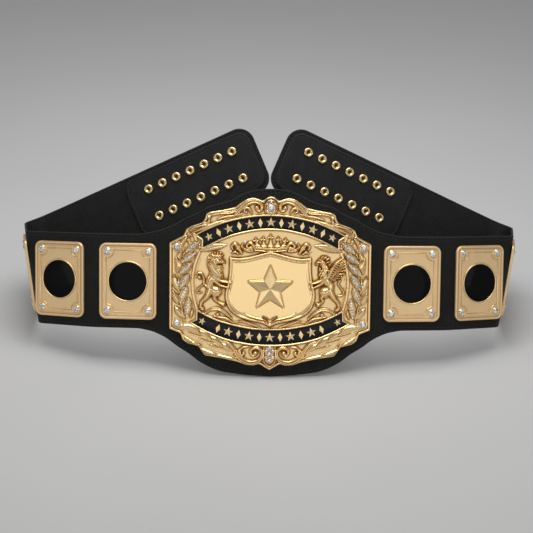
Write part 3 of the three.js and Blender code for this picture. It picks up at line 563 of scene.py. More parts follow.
# %% Patches with their stitches
PATCH_FACE = -STRAP_THICKNESS - SEAT_GAP - PATCH_THICKNESS
PATCH_CORNER, PATCH_SEAM, PATCH_GROOVE, PATCH_ROUNDING = 16.0, 3.7, 0.35, 1.6
PATCH_LAP = 0.2
TAIL_MIDDLE = (STRAP_HEIGHT - TAIL_HEIGHT) / 2


def patch(sign):
    far = HALF_LENGTH - PATCH_INSET
    near = far - PATCH_LENGTH
    bend = PATCH_CORNER * (1 - np.sin(np.linspace(0, math.pi / 2, 16)))
    spots = np.sort(np.concatenate((near + bend, far - bend, np.arange(near + 20, far - 19, 6.0))))
    from_end = np.minimum(spots - near, far - spots)
    half = (TAIL_HEIGHT - 2 * PATCH_INSET) / 2 - corner_cut(from_end, PATCH_CORNER)
    if sign < 0:
        spots, half = -spots[::-1], half[::-1]
    low, high = TAIL_MIDDLE - half, TAIL_MIDDLE + half
    thickness = PATCH_THICKNESS + PATCH_LAP
    shape, rim = leather_slab(
        spots, low, high, PATCH_FACE, thickness, 12, PATCH_SEAM, PATCH_GROOVE, PATCH_ROUNDING
    )
    return shape, rim, outline_of(spots, low, high)


SIDES = {"left": -1, "right": 1}
for side, sign in SIDES.items():
    shape, near, outline = patch(sign)
    nodes = [f"snap_patch_{side}"]
    piece = make_piece(f"snap_patch_leather_{side}", [shape], [PATCH_LEATHER], nodes, 60)
    store(piece, "rub", np.clip(1 - near / 1.2, 0, 1) * 0.35)
    row = stitch_row(inset_line(outline, PATCH_SEAM), PATCH_FACE + 0.15, STITCH_DIP)
    make_piece(f"snap_patch_stitches_{side}", row, [THREAD], sharp=80)

# %% [markdown]
# ## Gold
#
# The plates are cast brass, plated with gold. The raised work is polished and the flat ground is
# blasted to a fine satin. The hollows are darkened brown, partly as patina left where the polishing
# wheel can't reach them and partly as painted shade. All metals share one recipe. A number stored on
# each point says how deep it lies below its surroundings, darkens the metal there with patina and
# painted shade, and dulls it.

# %% Metal finishes
HOLLOW_DULLNESS = 0.28


def gilt(name, colour, roughness, grain, depth, patina_and_shade, polish=0.0):
    """Gold plate. grain is its texture in cells a metre, polish how much smoother its heights are."""
    material, shader, links, place, add = new_material(name, colour, roughness, Metallic=1.0)
    clouds = noise(add, place, 45.0, 4.0)
    pale = tuple(min(1.0, channel * 1.07) for channel in colour)
    body = blended(add, ranged(add, clouds, 0.35, 0.7, 0.0, 1.0), colour, pale)
    # the hollows take a colour that is partly patina and partly painted shade
    hollow = add("Attribute", attribute_name="hollow").outputs["Fac"]
    links.new(blended(add, hollow, body, patina_and_shade), shader.inputs["Base Color"])
    fine = noise(add, place, grain, 2.0, 0.6)
    bumped(add, links, shader, fine, depth)
    scatter = ranged(add, clouds, 0.3, 0.75, roughness - 0.05, roughness + 0.06)
    high = add("Attribute", attribute_name="raised").outputs["Fac"]
    rubbed = add("Math", {0: high, 1: -polish, 2: scatter}, operation="MULTIPLY_ADD").outputs[0]
    dull = add("Math", {0: hollow, 1: HOLLOW_DULLNESS, 2: rubbed}, operation="MULTIPLY_ADD").outputs[0]
    links.new(dull, shader.inputs["Roughness"])
    return material


# brown of the hollows: partly patina, partly painted shade
PATINA_AND_SHADE = (0.26, 0.12, 0.034)
GOLD_POLISHED = gilt("gold_polished", (0.95, 0.69, 0.35), 0.26, 700.0, 0.00004, PATINA_AND_SHADE)
GOLD_SATIN = gilt("gold_satin", (0.9, 0.65, 0.36), 0.46, 1500.0, 0.00022, PATINA_AND_SHADE)
# the snaps' dark hollow colour is painted shade in the spring pocket
BRASS = gilt("snap_brass", (0.84, 0.62, 0.31), 0.22, 900.0, 0.00003, (0.06, 0.03, 0.01))
print("metals:", GOLD_POLISHED.name, GOLD_SATIN.name, BRASS.name)

# %% [markdown]
# ## Snaps
#
# A snap is spun from sheet brass: a domed cap on the outside, a post through both leathers, and
# on the inside a rolled ring round a spring pocket darkened with painted shade. Something spun is
# best made as a profile turned round its axis, which a screw modifier could also do.

# %% Snap profile and places
SNAP_SPACING, SNAP_ROW_SPACING, SNAP_END_MARGIN, SNAP_COLUMNS = 21.0, 39.5, 28.0, 7
SNAP_BACK = -(STRAP_THICKNESS + PATCH_THICKNESS + 2 * SEAT_GAP)
# radius, height from the patch face, and how much painted shade darkens the metal there
SNAP_PROFILE = (
    (0.0, SNAP_BACK - 2.0, 0), (2.4, SNAP_BACK - 1.9, 0), (4.5, SNAP_BACK - 1.45, 0),
    (6.0, SNAP_BACK - 0.7, 0), (6.5, SNAP_BACK - 0.1, 0), (6.3, SNAP_BACK, 0), (2.3, SNAP_BACK, 0),
    (2.3, 0.3, 0), (6.3, 0.3, 0), (6.5, 0.6, 0), (6.45, 1.1, 0), (6.0, 1.9, 0), (5.3, 2.35, 0),
    (4.5, 2.5, 0), (3.8, 2.35, 0), (3.1, 1.85, 0.1), (2.5, 1.25, 0.3), (2.1, 0.9, 0.7), (1.8, 0.6, 1),
    (0.9, 0.5, 1), (0.0, 0.5, 1),
)


def turned(profile, sides):
    """A profile of radius and height turned round z, closed where it meets the axis."""
    angle = np.linspace(0, 2 * math.pi, sides, endpoint=False)
    radius, height = np.array([row[:2] for row in profile], float).T
    rings = np.stack((
        radius[:, None] * np.cos(angle), radius[:, None] * np.sin(angle), height[:, None] + 0 * angle,
    ), -1)
    points = [rings[0, :1], *rings[1:-1], rings[-1, :1]]
    faces = []
    for r in range(len(rings) - 3):
        for i in range(sides):
            a, b = 1 + r * sides + i, 1 + r * sides + (i + 1) % sides
            faces.append((a, b, b + sides, a + sides))
    last = 1 + (len(rings) - 2) * sides
    for i in range(sides):
        faces.append((0, 1 + (i + 1) % sides, 1 + i))
        faces.append((last, last - sides + i, last - sides + (i + 1) % sides))
    return np.concatenate(points), faces


SNAP_SIDES = 26
snap_points, snap_faces = turned(SNAP_PROFILE, SNAP_SIDES)
snap_counts = [1] + [SNAP_SIDES] * (len(SNAP_PROFILE) - 2) + [1]
snap_pocket_shade = np.repeat([row[2] for row in SNAP_PROFILE], snap_counts)
for side, sign in SIDES.items():
    shapes, nodes = [], []
    for row, v in (("upper", SNAP_ROW_SPACING / 2), ("lower", -SNAP_ROW_SPACING / 2)):
        for column in range(SNAP_COLUMNS):
            s = sign * (HALF_LENGTH - PATCH_INSET - SNAP_END_MARGIN - column * SNAP_SPACING)
            moved = snap_points * (1, -1, -1) + (0, TAIL_MIDDLE + v, PATCH_FACE)
            shapes.append((on_flat_piece(s, moved), snap_faces))
            nodes.append(f"snap_{side}_{row}_{column + 1}")
    snaps = make_piece(f"snaps_{side}", shapes, [BRASS], nodes, 50)
    store(snaps, "hollow", np.tile(snap_pocket_shade, len(nodes)))

# %% [markdown]
# ## Cut stones
#
# The stones are round brilliants: a flat table, a ring of kite facets, a thin girdle, and a
# pointed back that sends light out again. Cheap stones are backed with silver foil, which is why
# they look white on gold. Each facet is a flat face, a silvered cup lies under it, and a fine
# noise of light and dark stands for the glints that come and go between facets.

# %% Stone, foil and setting
STONE_GLASS, shader, links, place, add = new_material(
    "cut_stone", (0.98, 0.98, 0.98), 0.02, IOR=2.4, Transmission_Weight=0.2, Coat_Weight=0.8,
    Coat_Roughness=0.02
)
glint = ranged(add, noise(add, place, 520.0, 0.0), 0.42, 0.56, 0.0, 1.0)
links.new(blended(add, glint, (0.3, 0.31, 0.34), (1.0, 1.0, 0.98)), shader.inputs["Base Color"])
FOIL, shader, links, place, add = new_material("silver_foil", (0.93, 0.94, 0.96), 0.1, Metallic=1.0)
crease = noise(add, place, 1500.0, 2.0)
links.new(blended(add, crease, (0.86, 0.88, 0.92), (0.97, 0.97, 0.97)), shader.inputs["Base Color"])
bumped(add, links, shader, crease, 0.0001)


STONE_RISE = 0.27


def brilliant(diameter, foot):
    """A cut stone that stands on foot, and its foil cup, in its own frame."""
    radius, height = diameter / 2, diameter * STONE_RISE

    def ring(share, z, count, shift=0.0):
        angle = np.arange(count) * 2 * math.pi / count + shift
        return np.stack((
            share * radius * np.cos(angle), share * radius * np.sin(angle),
            np.full(count, foot + z * height),
        ), 1)

    # the table, the kites, the crown's edge, the girdle and the pointed back
    points = np.concatenate((
        ring(0.55, 1.0, 8), ring(0.78, 0.72, 8, math.pi / 8), ring(1.0, 0.3, 16), ring(1.0, 0.12, 16),
        ring(0.02, -0.05, 8),
    ))
    kite, edge, girdle, tip = 8, 16, 32, 48
    faces = [list(range(kite)), list(range(tip + 7, tip - 1, -1))]
    for i in range(8):
        j, e, after = (i + 1) % 8, edge + 2 * i, edge + (2 * i + 2) % 16
        faces += [[i, j, kite + i], [i, kite + i, e], [j, after, kite + i]]
        faces += [[kite + i, e + 1, e], [kite + i, after, e + 1]]
        faces += [[tip + i, tip + j, after + 16, e + 17], [tip + i, e + 17, e + 16]]
    for i in range(16):
        j = (i + 1) % 16
        faces.append([edge + i, edge + j, girdle + j, girdle + i])
    wide = radius * 1.02
    cup = turned(((0, foot - 0.3), (wide, foot - 0.3), (wide, foot + 0.1 * height), (0, foot - 0.1)), 16)
    return (points, faces, 0), (*cup, 1)


def setting(diameter, foot, rise, prongs=4):
    """A gold collar round a stone, with beads of metal pushed over its edge."""
    radius = diameter / 2
    collar = turned((
        (0, foot), (radius * 1.3, foot), (radius * 1.28, foot + rise * 0.6), (radius * 1.16, foot + rise),
        (radius * 1.05, foot + rise * 0.9), (radius * 1.03, foot + rise * 0.3), (0, foot + rise * 0.2),
    ), 24)
    shapes = [collar]
    for k in range(prongs):
        angle = (k + 0.5) * 2 * math.pi / prongs
        bead = dome(radius * 0.17, foot + rise * 0.5, foot + rise + radius * 0.16, 8)
        spot = (radius * 1.02 * math.cos(angle), radius * 1.02 * math.sin(angle), 0)
        shapes.append((bead[0] + spot, bead[1]))
    return shapes


def dome(radius, foot, top, sides=14):
    """A round boss."""
    rows = [(0, foot), (radius, foot)]
    rows += [(radius * math.cos(a), foot + (top - foot) * math.sin(a)) for a in np.radians((30, 55, 75))]
    return turned([*rows, (0, top)], sides)


print("a stone has", len(brilliant(8, 0)[0][1]), "facets")

# %% [markdown]
# ## Side plates
#
# Each side plate is a flat casting with a raised polished rim and a fine frame line that steps
# round the four corner stones. A ring holds a black disc for a badge. The plate is skinned from
# rounded rectangles, each a little smaller or higher than the last.

# %% Outlines of a side plate
SIDE_CORNER, SIDE_DISC, STONE_INSET, STONE_SIZE = 9.0, 48.0, 10.5, 8.0
FRAME_INSET, FRAME_ARC = 9.0, 8.2


CORNER_STEPS = 8
RECTANGLE_POINTS = 4 * (CORNER_STEPS + 1)


def rounded_rectangle(inset):
    x, y, radius = SIDE_WIDTH / 2 - SIDE_CORNER, SIDE_HEIGHT / 2 - SIDE_CORNER, SIDE_CORNER - inset
    corners = []
    for quarter, (cx, cy) in enumerate(((x, y), (-x, y), (-x, -y), (x, -y))):
        angle = (quarter + np.linspace(0, 1, CORNER_STEPS + 1)) * math.pi / 2
        corners.append(np.stack((cx + radius * np.cos(angle), cy + radius * np.sin(angle)), 1))
    return np.concatenate(corners)


def stepped_frame():
    """A rectangle whose corners curve inwards round the stones."""
    x, y = SIDE_WIDTH / 2 - FRAME_INSET, SIDE_HEIGHT / 2 - FRAME_INSET
    cx, cy = SIDE_WIDTH / 2 - STONE_INSET, SIDE_HEIGHT / 2 - STONE_INSET
    entry = math.asin((STONE_INSET - FRAME_INSET) / FRAME_ARC)
    line = []
    for sx, sy in ((1, 1), (-1, 1), (-1, -1), (1, -1)):
        angle = np.linspace(1.5 * math.pi + entry, math.pi - entry, 12)
        arc = np.stack((sx * (cx + FRAME_ARC * np.cos(angle)), sy * (cy + FRAME_ARC * np.sin(angle))), 1)
        line.append(arc if sx * sy > 0 else arc[::-1])
    return np.concatenate(line)


# %% Raised lines
ROUND_ANGLES = np.radians((-90, -68, -45, -22, 0, 22, 45, 68, 90))
ROUND_TOP = np.array([(math.sin(a), math.cos(a)) for a in ROUND_ANGLES])


def mitred(line):
    """Sideways directions along a closed flat line, stretched at its corners."""
    before, after = line - np.roll(line, 1, 0), np.roll(line, -1, 0) - line
    before /= np.linalg.norm(before, axis=1)[:, None] + 1e-12
    after /= np.linalg.norm(after, axis=1)[:, None] + 1e-12
    share = np.maximum(1 + (before * after).sum(1), 0.4)
    return np.stack((-(before + after)[:, 1], (before + after)[:, 0]), 1) / share[:, None]


def raised_line(line, width, rise, foot=-0.6):
    """A bar with a round top along a closed flat line, as x, y and height."""
    flat = line[:, None] + mitred(line)[:, None] * (ROUND_TOP[None, :, :1] * (width / 2))
    height = np.broadcast_to(foot + (rise - foot) * ROUND_TOP[:, 1], flat.shape[:2])
    return skin(np.concatenate((flat, height[..., None]), -1), True)


def lifted(shape, by):
    return (shape[0] + (0, 0, by), *shape[1:])


print("frame line has", len(stepped_frame()), "points")

# %% [markdown]
# The disc is moulded plastic with a hard gloss. It is almost black all through, so nearly all
# that shows is the sharp reflection on its surface, with a few hairline scratches in it.

# %% Side plates, discs and their stones
DISC_BLACK, shader, links, place, add = new_material(
    "disc_black", (0.004, 0.004, 0.0045), 0.1, Specular_IOR_Level=0.07
)
scratch = noise(add, place, 220.0, 6.0, 0.7)
links.new(ranged(add, scratch, 0.3, 0.8, 0.06, 0.16), shader.inputs["Roughness"])
links.new(blended(add, scratch, (0.003, 0.003, 0.0035), (0.006, 0.006, 0.0065)),
    shader.inputs["Base Color"])

# inset from the edge and height of each step
SIDE_STEPS = (
    (0.4, 0.0), (0.0, 0.3), (0.0, 2.3), (0.35, 3.1), (0.95, 3.5), (2.5, 3.5), (3.1, 3.25), (3.5, 2.75),
    (3.9, 2.6), (5.0, 2.6),
)
# how much patina and painted shade darkens each of those steps, and across a raised line
STEP_SHADE = (0, 0, 0, 0, 0, 0, 0.1, 0.6, 0.5, 0)
LINE_SHADE = (1, 0.85, 0.2, 0, 0, 0, 0.2, 0.85, 1)


def side_plate():
    rings = [
        np.column_stack((rounded_rectangle(inset), np.full(RECTANGLE_POINTS, z)))
        for inset, z in SIDE_STEPS
    ]
    body = (*skin(np.array(rings)), 1)
    circle = np.linspace(0, 2 * math.pi, 72, endpoint=False)
    circle = np.stack((np.cos(circle), np.sin(circle)), 1)
    lines = [
        raised_line(stepped_frame(), 1.5, 0.95, -0.3),
        raised_line(circle * (SIDE_DISC / 2 + 1.0), 2.2, 1.0, -0.3),
        raised_line(rounded_rectangle(5.6), 0.7, 0.3, -0.2),
    ]
    return body, [lifted(line, SIDE_THICKNESS) for line in lines]


def corner_spots():
    x, y = SIDE_WIDTH / 2 - STONE_INSET, SIDE_HEIGHT / 2 - STONE_INSET
    return [(x, y), (-x, y), (-x, -y), (x, -y)]


plate_body, plate_lines = side_plate()
plate_shade = np.concatenate(
    [np.repeat(STEP_SHADE, RECTANGLE_POINTS)]
    + [np.tile(LINE_SHADE, len(line[0]) // len(LINE_SHADE)) for line in plate_lines]
)
disc_shape = turned((
    (0, 1.7), (23.6, 1.7), (SIDE_DISC / 2, 2.0), (SIDE_DISC / 2, 2.75), (23.8, 2.97), (23.3, 3.05),
    (12, 3.05), (0, 3.05),
), 72)


def seated(shape, middle, x=0.0, y=0.0):
    """A shape of a side plate, seated on the strap with its plate's middle at a place."""
    return (on_flat_piece(middle, shape[0] + (x, y, 0) + (0, 0, SEAT_GAP)), *shape[1:])


for side, sign in SIDES.items():
    for number in (1, 2, 3):
        middle = sign * (zone_start(f"side {number}") + SIDE_WIDTH / 2)
        shapes, stones = [seated(shape, middle) for shape in (plate_body, *plate_lines)], []
        for x, y in corner_spots():
            collar = setting(STONE_SIZE, SIDE_THICKNESS - 0.2, 1.3)
            shapes += [seated(shape, middle, x, y) for shape in collar]
            for shape in brilliant(STONE_SIZE, SIDE_THICKNESS + 0.35):
                stones.append(seated(shape, middle, x, y))
        name = f"{side}_{number}"
        gilt_finishes = [GOLD_POLISHED, GOLD_SATIN]
        nodes = [f"side_plate_{name}"]
        piece = make_piece(f"side_plate_gilt_{name}", shapes, gilt_finishes, nodes)
        store(piece, "hollow", np.pad(plate_shade, (0, len(piece.data.vertices) - len(plate_shade))))
        make_piece(f"side_plate_stones_{name}", stones, [STONE_GLASS, FOIL], sharp=5)
        nodes = [f"side_disc_{name}"]
        make_piece(f"badge_disc_{name}", [seated(disc_shape, middle)], [DISC_BLACK], nodes)

# %% [markdown]
# ## The main plate
#
# The big plate is one casting. Its ornament melts together the way wax does, because such
# plates are first carved in wax. Sculpting by hand would be natural in Blender, but code can do
# the same on a height map: each leaf, scroll and limb raises the map along a drawn line, and
# where two meet the higher one wins. The map is then skinned twice a millimetre.

# %% Height map and drawing tools
PITCH = 0.5
PLATE_X, PLATE_Z = (np.arange(-half, half + PITCH, PITCH) for half in (MAIN_WIDTH / 2, 109.0))
relief = np.zeros((len(PLATE_X), len(PLATE_Z)))
NOWHERE = -9.0


def curve(points, steps=6):
    """A smooth line through points."""
    p = np.asarray(points, float)
    around = np.concatenate((2 * p[:1] - p[1:2], p, 2 * p[-1:] - p[-2:-1]))
    t = np.linspace(0, 1, steps, endpoint=False)[:, None]
    rows = [
        b + 0.5 * ((c - a) * t + (2 * a - 5 * b + 4 * c - d) * t**2 + (3 * b - a - 3 * c + d) * t**3)
        for a, b, c, d in zip(around, around[1:], around[2:], around[3:])
    ]
    return np.concatenate([*rows, p[-1:]])


def window(line, margin):
    """The part of the map round a line."""
    low, high = line.min(0) - margin, line.max(0) + margin
    spans = zip((PLATE_X, PLATE_Z), low, high)
    where = tuple(slice(*np.searchsorted(axis, span)) for axis, *span in spans)
    return where, *np.meshgrid(PLATE_X[where[0]], PLATE_Z[where[1]], indexing="ij")


def nearest(line, x, z):
    """Distance from a line, share of the way along it, and on which side of it."""
    legs = np.diff(line, axis=0)
    sizes = np.maximum(np.hypot(*legs.T), 1e-6)
    best, share, side, run = np.full(x.shape, 1e9), np.zeros(x.shape), np.ones(x.shape), 0.0
    for start, leg, size in zip(line, legs, sizes):
        px, pz = x - start[0], z - start[1]
        along = np.clip((px * leg[0] + pz * leg[1]) / size**2, 0, 1)
        distance = np.hypot(px - along * leg[0], pz - along * leg[1])
        closer = distance < best
        best = np.where(closer, distance, best)
        share = np.where(closer, (run + along * size) / sizes.sum(), share)
        side = np.where(closer, np.where(leg[0] * pz > leg[1] * px, 1.0, -1.0), side)
        run += size
    return best, share, side


def inside(outline, x, z):
    odd = np.zeros(x.shape, bool)
    for (x1, z1), (x2, z2) in zip(outline, np.roll(outline, -1, 0)):
        if z1 != z2:
            odd ^= ((z1 > z) != (z2 > z)) & (x < (x2 - x1) * (z - z1) / (z2 - z1) + x1)
    return odd


# %% Cross-sections of the carving, by the share of the way out to its edge
def domed(u):
    return np.where(abs(u) < 1, np.clip(1 - u**2, 0, 1) ** 0.6, NOWHERE)


def fleshy(u):
    """Goes on below the ground, so that neighbours melt together."""
    return np.maximum(1 - u**2, -1.5)


def veined(u):
    return domed(u) * (1 - 0.5 * np.exp(-((u / 0.24) ** 2)))


def grooved(u):
    return domed(u) * (1 - 0.5 * np.exp(-((u / 0.3) ** 2)))


def ribbed(u):
    """Two faces that meet in a midrib."""
    return np.where(abs(u) < 1, 1 - 0.62 * abs(u) ** 1.5, NOWHERE)


def sunk(u):
    """A flat ditch a little below the ground."""
    return np.where(abs(u) < 1, -0.1, NOWHERE)


def cupped(u):
    return np.where(abs(u) < 1, 0.45 + 0.55 * np.exp(-(((abs(u) - 0.78) / 0.16) ** 2)), NOWHERE)


def press(where, made, melt, pair, over=False):
    """Raises the map to a form, or lays it over all, and its mirrored half too for a pair."""
    for side in (relief, relief[::-1]) if pair else (relief,):
        under = side[where]
        if over:
            side[where] = np.where(made > -0.5, made, under)
            continue
        lap = np.maximum(melt - abs(made - under), 0) / max(melt, 1e-6)
        side[where] = np.maximum(made, under) + lap**2 * melt / 4


def rib(line, width, rise, section=domed, melt=0.0, pair=True, over=False):
    """A raised form along a line. width and rise are spread evenly along it."""
    line, width, rise = np.asarray(line, float), np.atleast_1d(width), np.atleast_1d(rise)
    where, x, z = window(line, max(width) * (0.9 if melt else 0.5) + 1)
    distance, share, side = nearest(line, x, z)
    half = np.interp(share, np.linspace(0, 1, len(width)), width) / 2
    height = np.interp(share, np.linspace(0, 1, len(rise)), rise)
    press(where, height * section(side * distance / np.maximum(half, 0.1)), melt, pair, over)


def stroke(points, width, rise, section=domed, melt=0.0, pair=True, over=False):
    rib(curve(points), width, rise, section, melt, pair, over)


def boss(x, z, radius, rise, melt=0.0, pair=True):
    rib(((x, z), (x + 0.01, z)), 2 * radius, rise, fleshy if melt else domed, melt, pair)


def dent(points, width, depth, pair=True):
    """Presses a soft groove into what is there."""
    where, x, z = window(np.asarray(points, float), width + 1)
    distance = nearest(curve(points), x, z)[0]
    for side in (relief, relief[::-1]) if pair else (relief,):
        side[where] -= depth * np.exp(-((distance / width * 2) ** 2))


LEAF_SWELL = np.array((0.3, 0.72, 0.98, 1.0, 0.74, 0.12))
LEAF_LIFT = np.array((0.5, 0.8, 0.95, 1.0, 0.95, 0.6))


def leaf(foot, tip, width, rise, bend=0.0, section=ribbed, pair=True, ditch=2.2):
    """A leaf in its own ditch. Its spine bows by a share of its length."""
    foot, tip = np.array(foot, float), np.array(tip, float)
    across = np.array((foot[1] - tip[1], tip[0] - foot[0]))
    middle = (foot + tip) / 2 + bend * across
    if ditch:
        stroke((foot, middle, tip), width * LEAF_SWELL + ditch, rise, sunk, pair=pair, over=True)
    stroke((foot, middle, tip), width * LEAF_SWELL, rise * LEAF_LIFT, section, pair=pair, over=True)


print("height map of", relief.shape, "points")

# %% [markdown]
# ## Edge, banners and shield
#
# The plate's edge steps in and out like a cartouche, with a polished bead all round. Two ribbons
# cross it, filled with black enamel that carries plain stars and lozenges. The shield in the
# middle has a double border and a plain faceted star in a shallow groove.

# %% Outlines. Right half, from the top middle to the bottom middle
PLATE_EDGE = (
    (0, 108.6), (4, 107.7), (8, 104.6), (10.5, 102.9), (14, 104.6), (22, 106.9), (30, 105), (38, 100),
    (45, 94.5), (60, 91.3), (75, 88.8), (80, 86.5), (82, 80), (85, 75.5), (99, 70.7), (105, 67),
    (108.5, 59), (118, 54), (126, 49.8), (126, -58.5), (112, -64), (109, -72), (103, -76.5), (89, -80),
    (85, -86), (81, -91.5), (60, -94.8), (40, -99), (30, -102.6), (20, -103.5), (13, -101.5), (0, -109.2),
)
SHIELD_EDGE = (
    (0, 40), (8, 38.3), (20, 35), (32, 32.3), (42, 31.8), (51, 33.2), (50.5, 24), (51, 12), (53, 0),
    (55.3, -10), (55.5, -20), (51, -32), (41, -41), (26, -46.5), (10, -50), (0, -54.5),
)
RIM_WIDTH, RIM_RISE = 3.4, 1.7
SHIELD_FACE, STAR_RADIUS, STAR_WAIST, STAR_MIDDLE = 2.2, 27.0, 0.42, -6.5


def whole(half):
    """A closed outline from its right half, clockwise from the top."""
    half = np.asarray(half, float)
    return np.concatenate((half, half[-2:0:-1] * (-1, 1)))


def even(line, step):
    """A closed line sampled evenly."""
    closed = np.concatenate((line, line[:1]))
    run = np.concatenate(([0], np.cumsum(np.hypot(*np.diff(closed, axis=0).T))))
    at = np.linspace(0, run[-1], round(run[-1] / step), endpoint=False)
    return np.stack([np.interp(at, run, closed[:, k]) for k in (0, 1)], 1)


def softened(line, reach):
    """A closed line whose corners are eased."""
    return sum(np.roll(line, k, 0) for k in range(-reach, reach + 1)) / (2 * reach + 1)


def shifted(line, outwards):
    return line + outwards * mitred(line)


plate_edge = softened(even(whole(PLATE_EDGE), 0.7), 2)
map_x, map_z = np.meshgrid(PLATE_X, PLATE_Z, indexing="ij")
coarse = np.concatenate((plate_edge[::3], plate_edge[:1]))
edge_away = nearest(coarse, map_x, map_z)[0]
on_plate = inside(coarse[:-1], map_x, map_z)
relief += np.where(on_plate, 0.7 * np.exp(-(((edge_away - 5.4) / 0.75) ** 2)), 0)

shield_line = whole(curve(SHIELD_EDGE[:6]).tolist() + curve(SHIELD_EDGE[5:]).tolist()[1:])
shield = softened(even(shield_line, 0.8), 1)
where, x, z = window(shield, 2)
away = nearest(np.concatenate((shield, shield[:1])), x, z)[0]
within = inside(shield, x, z)
outer_border = 1.7 * np.exp(-(((away - 1.7) / 1.25) ** 4))
inner_border = 0.7 * np.exp(-(((away - 5.0) / 0.7) ** 2))
tray = SHIELD_FACE + outer_border + inner_border
press(where, np.where(within, np.minimum(tray, 1.2 + 3.2 * away), NOWHERE), 0, False)
corner = np.arange(11)
star_angle = math.pi / 2 - corner * math.pi / 5
star_reach = (STAR_RADIUS + 1.6) * np.where(corner % 2, STAR_WAIST + 0.03, 1.0)
star_ditch = np.stack((star_reach * np.cos(star_angle), star_reach * np.sin(star_angle) + STAR_MIDDLE), 1)
relief[where] -= np.exp(-((nearest(star_ditch, x, z)[0] / 1.1) ** 2))
print("the shield's border stands", round(float(relief.max()), 2), "mm above the field")

# %% Banners, each from its upper edge round its swallow tail to its lower edge
BANNERS = {
    "top": (
        ((0, 84), (20, 82.9), (40, 79.5), (60, 74), (80, 65.5), (91.5, 59.3)), (83.5, 54),
        ((84, 44.2), (80, 46.4), (70, 51.5), (60, 56), (50, 60), (40, 63), (20, 67.2), (0, 68.5)),
    ),
    "bottom": (
        ((0, -58.6), (20, -57.8), (40, -54.5), (60, -49.5), (70, -46), (80, -41.4), (90, -36)), (90.3, -47),
        ((97.5, -50.4), (90, -54.3), (80, -59.5), (70, -64), (60, -68), (50, -71), (40, -73.3), (20, -76.2),
        (0, -77)),
    ),
}
RIBBON_RISE, ENAMEL_RISE = 2.1, 1.6


def arch(edge):
    """A banner's edge, smooth from one end to the other."""
    edge = np.asarray(edge, float)
    middle = edge if edge[0][0] == 0 else edge[::-1]
    half = curve(np.concatenate((middle[1:2] * (-1, 1), middle)), steps=5)
    half = half[half[:, 0] >= 0]
    return half if edge[0][0] == 0 else half[::-1]


banner_edges = {}
for name, (upper, notch, lower) in BANNERS.items():
    banner_edges[name] = whole([*arch(upper), notch, *arch(lower)])
print("banner outlines have", [len(line) for line in banner_edges.values()], "points")

# %% [markdown]
# ## Crown, scrolls and laurel
#
# A crown stands over the shield between curling leaves. Scrolls frame the stone clusters at the
# top and the bottom, and a laurel climbs each side. Its inner leaves are cups that are filled
# with stones. All of it is the same on both halves, so each form is drawn once and mirrored.

# %% Frame, crown and mantling
frame_oval = ((-86.5, 41), (-91, 31), (-94.5, 20), (-96.3, 10), (-97, 0), (-96.3, -10), (-94.7, -20),
    (-92, -30), (-90, -37))
stroke(frame_oval, 3.4, 2.0, grooved)
stroke([(x + 4.2, z * 0.96) for x, z in frame_oval[1:-1]], 1.1, 0.7)
stroke(((-95, 60), (-92, 52), (-88, 44)), 4.5, 1.6)
leaf((-87, 40.5), (-55, 47.5), 8.5, 2.2, 0.02, grooved)
stroke(((-18.5, 41.5), (-9, 40.6), (0, 40.3)), 2.2, 3.4)
stroke(((-18.5, 47.6), (-9, 46.6), (0, 46.3)), 1.8, 3.4)
stroke(((-18, 44.5), (-9, 43.6), (0, 43.3)), 4.4, 2.6)
for x, z in ((-15, 44.3), (-10, 43.8), (-5, 43.5), (0, 43.4)):
    boss(x, z, 1.4, 3.5)
for foot, tip, top in ((-15.5, -18.4, 57.5), (-8.2, -9.4, 59), (0, 0, 61.6)):
    stroke(((foot, 46.5), (foot * 0.4 + tip * 0.6, 51), (tip, top - 2)), (7.6, 3.2, 2.2), (2.4, 2.8, 3.0))
    stroke(((tip - 3.1, top - 4.4), (tip + 3.1, top - 4.4)), (1.4, 2.4, 1.4), 3.2)
    stroke(((tip, top - 6.4), (tip, top)), (1.4, 3.4, 1.0), 3.8)
stroke(((-19, 41), (-21, 47), (-25.5, 50.5), (-29.5, 47.5), (-27.5, 43.5)), (3, 4.6, 4.4, 3.4, 3),
    (3, 4.2, 4, 3.6, 3.4))
stroke(((-23, 41), (-30, 41.5), (-35, 45.5), (-34, 50)), (4.4, 4, 3.4, 2), (3.2, 4, 3.8, 3), veined)
stroke(((-36, 38), (-40, 44), (-44, 49), (-48, 46.5), (-47, 42.5)), (3.4, 5.4, 5, 3.6, 2.6),
    (3, 4.4, 4.2, 3.6, 3.2))
stroke(((-40, 37), (-44, 39.5), (-47.5, 37.6)), (3, 3.6, 2.4), (3, 3.8, 3))
boss(-24.5, 44, 3.2, 4.4)
boss(-41, 43.5, 2.4, 4.4)
stroke(((-33, -36), (-26, -40.5), (-16, -43.6), (-7, -45.6), (-1.2, -51.5)), (1, 2.4, 2.8, 2.6, 1.4),
    (2.6, 4.4, 4.8, 4.8, 4.4))
dent(((-8, -42.6), (-4, -44.6), (0, -48)), 2.6, 2.6)
print("crown's tallest bead is", round(float(relief.max()), 2), "mm high")

